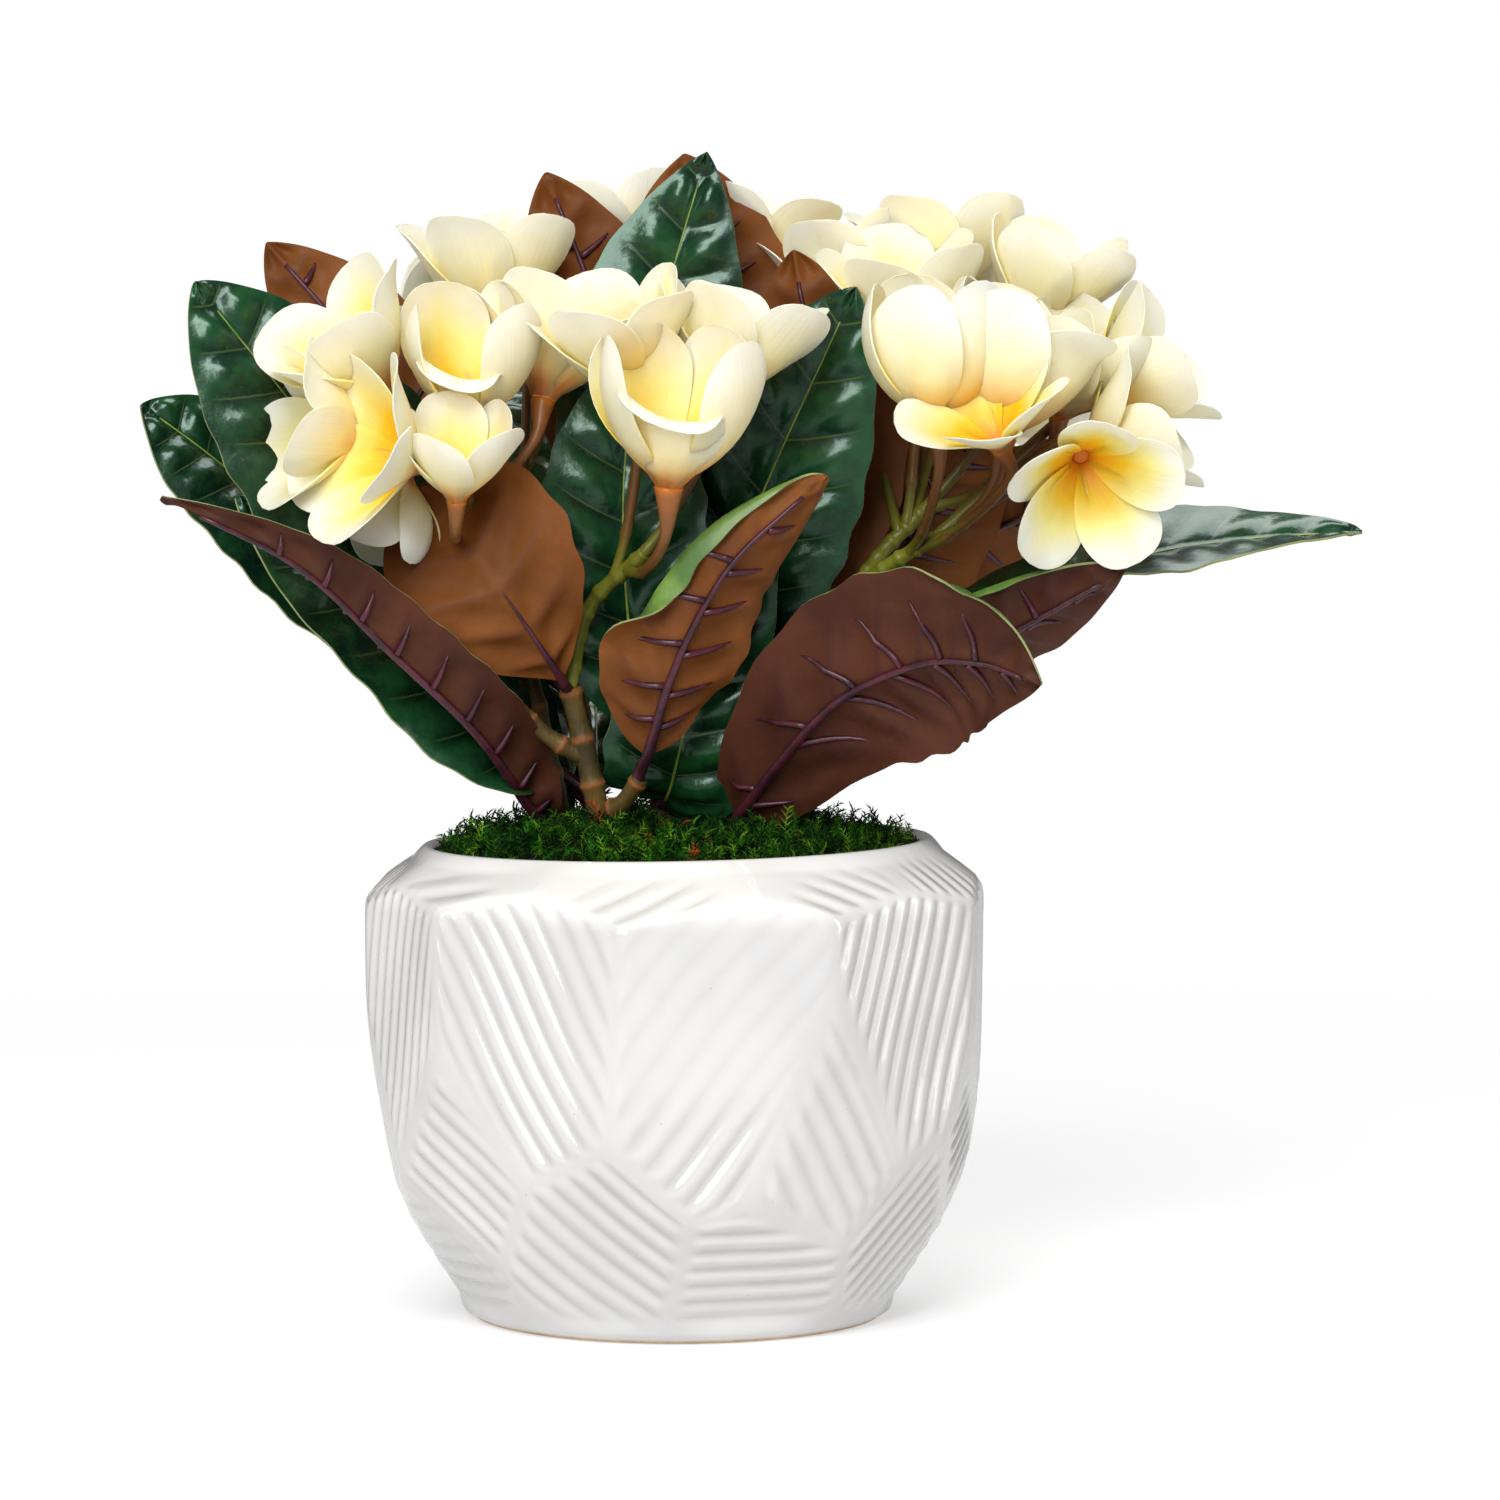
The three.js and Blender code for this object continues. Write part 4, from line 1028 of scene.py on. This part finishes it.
def leafUpperMaterial():
    material, tree, shader = newMaterial("leafUpper", Roughness=0.23, Specular_IOR_Level=0.56,
                                         Specular_Tint=(0.75, 1.0, 0.88, 1))
    broad = mottle(tree, 16.0, tint(22, 66, 36), tint(6, 30, 22))
    color = blendColors(tree, 0.35, broad, mottle(tree, 130.0, tint(34, 84, 40), tint(8, 36, 24)))
    # painted shade: a band along each side rib is darkened, standing in for the shade in the creases there
    color = blendColors(tree, ribs(tree, 0.32, 0.75), color, tint(4, 22, 18))
    color = blendColors(tree, ribs(tree, 0.035, 0.35), color, tint(96, 128, 62))
    dress(tree, shader, color, grain(tree, 420.0, 2.0), 0.0004, 0.25)
    return material


def leafUnderMaterial(name, light, dark, near):
    material, tree, shader = newMaterial(name, Roughness=0.55, Specular_IOR_Level=0.16)
    fine = maths(tree, "ADD", centred(tree, grain(tree, 900.0), 0.5), 0.3)
    color = blendColors(tree, fine, mottle(tree, 20.0, tint(*light), tint(*dark)), tint(*dark))
    color = blendColors(tree, ribs(tree, 0.16, 0.35), color, tint(*near))
    dress(tree, shader, color, grain(tree, 700.0), 0.0003, 0.3)
    return material


def trimMaterial(name, size, light, dark, roughness):
    return mottledMaterial(name, size, light, dark, (size * 6, 0.0002, 0.5), Roughness=roughness)


makeLeaves([
    leafUpperMaterial(),
    leafUnderMaterial("leafUnder", (132, 78, 32), (104, 58, 22), (84, 42, 34)),
    trimMaterial("leafEdge", 80.0, (150, 158, 104), (118, 130, 76), 0.6),
    trimMaterial("leafRib", 90.0, (80, 28, 42), (48, 18, 30), 0.4),
    trimMaterial("leafMidline", 90.0, (150, 168, 66), (110, 136, 48), 0.4),
    trimMaterial("leafFold", 60.0, (116, 148, 66), (74, 112, 48), 0.4),
    leafUnderMaterial("leafUnderDark", (92, 52, 34), (68, 36, 24), (54, 24, 30)),
])
print("leaves are made")


# Flower heads

bloomPlan = {
    "petals": 5, "length": 56, "halfWidth": 19.5, "outline": (0.75, 0.42), "thickness": 0.9, "start": 60,
    "overlap": 4.5, "rows": 16, "columns": 10, "crowding": 1.55, "clawWidth": 4.2, "clawOut": 4.4,
    "rolled": 3.4, "funnel": 18, "funnelRadius": 5.3, "funnelFrom": 0.62, "pedicel": 2.1, "peduncle": 2.9,
    "knotSwell": 0.7, "knots": (0.12, 0.3, 0.45, 0.62, 0.78, 0.93), "firstRoot": 0.4, "rootSpread": 0.55,
    "seed": 5,
}

# the stem, the stalk's knee and fork, and each bloom: its throat, the way it looks, opening and size
heads = {
    "left": ("left_stem", (-82, -34, 312), (-88, -46, 322), [
        ((-112, -56, 371), (-0.6, -0.3, 0.75), 20, 1), ((-80, -60, 360), (0, -0.3, 1), -4, 1),
        ((-119, -62, 353), (-0.95, -0.3, 0.2), 24, 0.9), ((-98, -84, 344), (-0.8, -0.5, 0.25), 36, 0.95),
        ((-84, -88, 330), (0.05, -0.4, 0.9), 10, 0.8), ((-74, 4, 395), (-0.05, 0.1, 1), 16, 1),
        ((-52, -42, 368), (0.2, 0.3, 0.9), 30, 1), ((-106, -50, 338), (-0.25, -0.2, -0.9), 0, 0.7)]),
    "centre": ("front_stem", (-34, -36, 286), (-12, -52, 308), [
        ((-18, -60, 370), (-0.2, -0.25, 0.95), 16, 1), ((-2, -96, 336), (0.08, -0.2, 1), -6, 1.2),
        ((18, -54, 368), (0.25, 0, 1), 14, 1)]),
    "right_front": ("right_stem", (84, -26, 302), (104, -36, 314), [
        ((102, -62, 360), (-0.05, -0.1, 1), -8, 1.1), ((128, -56, 354), (0.2, -0.05, 1), -4, 1.15),
        ((126, -79, 350), (-0.3, -0.5, 0.8), 44, 0.8), ((160, -44, 347), (0.85, -0.08, 0.4), 26, 0.9),
        ((158, -64, 346), (0.15, -0.8, -0.5), 42, 0.85), ((166, -16, 368), (0.8, -0.1, 0.5), 20, 0.95)]),
    "right_top": ("right_stem", (82, 4, 306), (100, 6, 324), [
        ((71, 42, 395), (-0.15, 0.1, 0.95), 16, 1), ((94, -4, 387), (-0.1, -0.2, 0.95), 14, 1),
        ((108, 36, 405), (-0.05, 0.1, 1), 24, 1), ((142, 6, 392), (0.25, -0.1, 0.95), 10, 1),
        ((152, -22, 362), (0.3, -0.3, 0.9), 4, 0.9)]),
    "back_left": ("back_left_stem", (-60, 76, 316), (-68, 84, 330), [
        ((-102, 68, 374), (-0.6, -0.1, 0.8), 20, 1), ((-62, 66, 396), (0, -0.1, 1), 16, 1),
        ((-98, 110, 360), (-0.5, 0.6, 0.6), 24, 1), ((-54, 118, 374), (0.1, 0.6, 0.8), 22, 1)]),
    "back_centre": ("centre_stem", (-4, 24, 306), (-2, 56, 334), [
        ((-24, 66, 411), (-0.15, 0, 1), 12, 1), ((26, 68, 409), (0.15, 0, 1), 14, 1),
        ((4, 96, 378), (0, 0.65, 0.8), 24, 1)]),
    "back_right": ("back_right_stem", (68, 76, 314), (78, 84, 328), [
        ((72, 84, 394), (-0.2, 0.1, 1), 20, 1), ((114, 76, 384), (0.4, 0, 0.9), 20, 1),
        ((120, 112, 358), (0.6, 0.6, 0.5), 24, 1), ((70, 126, 368), (-0.1, 0.7, 0.7), 24, 1)]),
}

# petals whose top is folded over outwards, by head, bloom and petal: the fold and the share of their length
lips = {("centre", 1, 4): (125, 0.7), ("left", 1, 4): (125, 0.66), ("right_front", 1, 0): (60, 0.9)}
twists = {("centre", 1): 19, ("left", 1): 12, ("right_front", 4): 36}  # blooms turned about their own axis


def bloomAxes(aim):
    axis = Vector(aim).normalized()
    first = sideways(axis, Vector((0.3, -1, 0)) if abs(axis.z) > 0.8 else upward)
    return axis, first, axis.cross(first)


def petalShare(y):  # the rows stand closer together towards the tip
    return 1 - (1 - (y + 1) / 2) ** bloomPlan["crowding"]


def petalSlope(share, start, opening, reflex, lip):  # angle from the bloom's axis
    narrow = 30 * (1 - soften(0, 0.14, share))
    tip = reflex * soften(0.66, 1, share)
    return radians(mix(start, opening, share) - narrow + tip + lip * soften(0.66, 0.86, share))


def petalProfile(length, *bends):  # how far out and up each row lies, and its slope
    steps = 8
    profile = {}
    radial = rise = last = 0.0
    for row in range(bloomPlan["rows"] + 1):
        y = row * 2 / bloomPlan["rows"] - 1
        share = petalShare(y)
        for step in range(steps):
            angle = petalSlope(mix(last, share, (step + 0.5) / steps), *bends)
            radial += sin(angle) * length * (share - last) / steps
            rise += cos(angle) * length * (share - last) / steps
        last = share
        profile[round(y, 3)] = (share, radial, rise, petalSlope(share, *bends))
    return profile


def addPetal(bm, mapLayer, throat, axes, turn, opening, size, shorter, reflex, lip, seed):
    plan = bloomPlan
    axis, first, second = axes
    outward = first * cos(turn) + second * sin(turn)
    across = -axis.cross(outward)
    closed = max(0, 10 - opening)
    length = plan["length"] * size * (1 + closed * 0.005) * shorter
    profile = petalProfile(length, plan["start"] + closed * 0.8, opening - closed * 0.9, reflex, lip)
    widest = plan["halfWidth"] * size
    verts = flatSheet(bm, plan["columns"], plan["rows"], mapLayer, (0, 1, 0),
                      lambda x, y: ((x + 1) / 2, petalShare(y)))
    for vert in verts:
        share, radial, rise, angle = profile[round(vert.co.y, 3)]
        foot = (1 - share) ** 2
        half = max(widest * outlineAt(share, *plan["outline"]), plan["clawWidth"] * size * foot, 0.3)
        inward = axis * sin(angle) - outward * cos(angle)
        curve = max(1.15 * radial + 4.5 * size, 5.4 * size)
        x = vert.co.x * half
        wide = x / widest
        place = throat + outward * (radial + plan["clawOut"] * size * foot) + axis * rise
        place += across * (curve * sin(x / curve)) + inward * (curve * (1 - cos(x / curve)))
        margin = max(0, abs(wide) - 0.6) ** 2
        rolled = -plan["rolled"] * size * margin * share * (2 if opening > 12 else 1)
        ripple = 1.2 * share * noise.noise(Vector((share * 2.4, wide * 1.4, seed)))
        lines = 0.2 * sin(vert.co.x * 16) * (1 - share) * share
        lift = plan["overlap"] * size * wide * share + rolled + ripple + lines
        thick = plan["thickness"] * (0.35 + 0.65 * (1 - share * share)) * (vert.co.z - 0.5)
        vert.co = point(place + inward * (lift + thick))


def addPeduncle(stalks, growth, route):  # the shared stalk, with its knots
    plan = bloomPlan

    def radiusAt(share):
        near = min(abs(share - knot) for knot in plan["knots"]) * 60
        return (plan["peduncle"] + plan["knotSwell"] * bell(near, 1.6)) * millimetre

    tube(stalks, route, radiusAt, 12, 60, marks=[(growth, lambda share: 0.12 * share)])


def addFunnel(stalks, growth, root, throat, axis, size):  # one bloom's own stalk and funnel
    plan = bloomPlan
    foot = point(throat - axis * plan["funnel"] * size)
    bend = root.lerp(foot, 0.5) - axis * (plan["funnel"] * size * 0.3 * millimetre)

    def radiusAt(share):
        flare = max(0, (share - plan["funnelFrom"]) / (1 - plan["funnelFrom"])) ** 1.6
        flare *= 1 - 0.85 * soften(0.975, 1, share)
        knot = 0.5 * exp(-((share - 0.3) * 40) ** 2) + 0.5 * exp(-((share - 0.05) * 30) ** 2)
        return (mix(plan["pedicel"], plan["funnelRadius"] * size, flare) + knot) * millimetre

    tube(stalks, [root, bend, foot, point(throat + axis * 0.6)], radiusAt, 12, 40,
         marks=[(growth, lambda share: 0.12 + 0.88 * share)])


def makeHeads(petalMaterials, stalkMaterials):
    plan = bloomPlan
    maker = random.Random(plan["seed"])
    for name, (stem, knee, fork, blooms) in heads.items():
        petals, stalks = bmesh.new(), bmesh.new()
        mapLayer = petals.loops.layers.uv.new("petalMap")
        growth = stalks.verts.layers.float.new("growth")
        knee, fork = point(knee), point(fork)
        addPeduncle(stalks, growth, [routePoint(routes[stem], 1.0), knee, fork])
        for index, (throat, aim, opening, size) in enumerate(blooms):
            axes, throat = bloomAxes(aim), Vector(throat)
            root = knee.lerp(fork, plan["firstRoot"] + plan["rootSpread"] * index / (len(blooms) - 1))
            addFunnel(stalks, growth, root, throat, axes[0], size)
            twist = radians(twists.get((name, index), 0))
            for petal in range(plan["petals"]):
                turn = (petal + 0.5) * tau / plan["petals"] + maker.uniform(-0.07, 0.07) + twist
                opened = opening + maker.uniform(-5, 5)
                reflex = (14 if opening > 12 else -6) + maker.uniform(-9, 9)
                lip, shorter = lips.get((name, index, petal), (0, 1))
                scale = size * maker.uniform(0.96, 1.03)
                seed = maker.random() * 50
                addPetal(petals, mapLayer, throat, axes, turn, opened, scale, shorter, reflex, lip, seed)
        newPiece(f"flowers_{name}_petals", petals, petalMaterials, ["flowers_" + name])
        newPiece(f"flowers_{name}_stalks", stalks, stalkMaterials, ["flowers_" + name])


def petalMaterial(name, stops, bow):
    material, tree, shader = newMaterial(name, Roughness=0.5, Subsurface_Weight=0.4, Subsurface_Scale=0.004,
                                         Subsurface_Radius=(1.0, 0.8, 0.45))
    petalMap = mapOf(tree, "petalMap")
    parts = partsOf(tree, petalMap)
    across = maths(tree, "ABSOLUTE", maths(tree, "SUBTRACT", parts["X"], 0.5))
    bowed = maths(tree, "ADD", parts["Y"], maths(tree, "MULTIPLY", across, bow))
    color = ramp(tree, maths(tree, "ADD", bowed, centred(tree, grain(tree, 70.0, 2.0), 0.22)), stops)
    faint = mottle(tree, 40.0, (1, 1, 1, 1), (0.93, 0.93, 0.9, 1))
    lines = noiseAt(tree, stretched(tree, petalMap, (34, 2.2, 1)), 1.0, 2.0)
    dress(tree, shader, blendColors(tree, 0.6, color, faint, "MULTIPLY"), lines, 0.0005, 0.35)
    return material


def stalkMaterial(stops):
    material, tree, shader = newMaterial("flowerStalk", Roughness=0.4)
    uneven = maths(tree, "ADD", markOf(tree, "growth"), centred(tree, grain(tree, 90.0), 0.08))
    shade = mottle(tree, 50.0, (1, 1, 1, 1), (0.7, 0.7, 0.7, 1))
    color = blendColors(tree, 0.6, ramp(tree, uneven, stops), shade, "MULTIPLY")
    dress(tree, shader, color, grain(tree, 500.0), 0.0003, 0.5)
    return material


# each stop of a ramp: its place from foot to tip, and its colour
makeHeads([
    petalMaterial("petalInside", [(0.0, 226, 116, 2), (0.2, 248, 168, 2), (0.42, 250, 198, 22),
                                  (0.68, 249, 234, 144), (1.0, 251, 248, 222)], 0.5),
    petalMaterial("petalOutside", [(0.0, 150, 84, 34), (0.12, 192, 126, 58), (0.27, 226, 188, 118),
                                   (0.5, 243, 229, 178), (0.95, 249, 246, 224)], 0.3),
], [stalkMaterial([(0.0, 118, 122, 30), (0.3, 108, 102, 28), (0.42, 104, 70, 28), (0.8, 128, 78, 32),
                   (0.94, 166, 100, 42), (1.0, 232, 128, 6)])])
print("flowers are made")
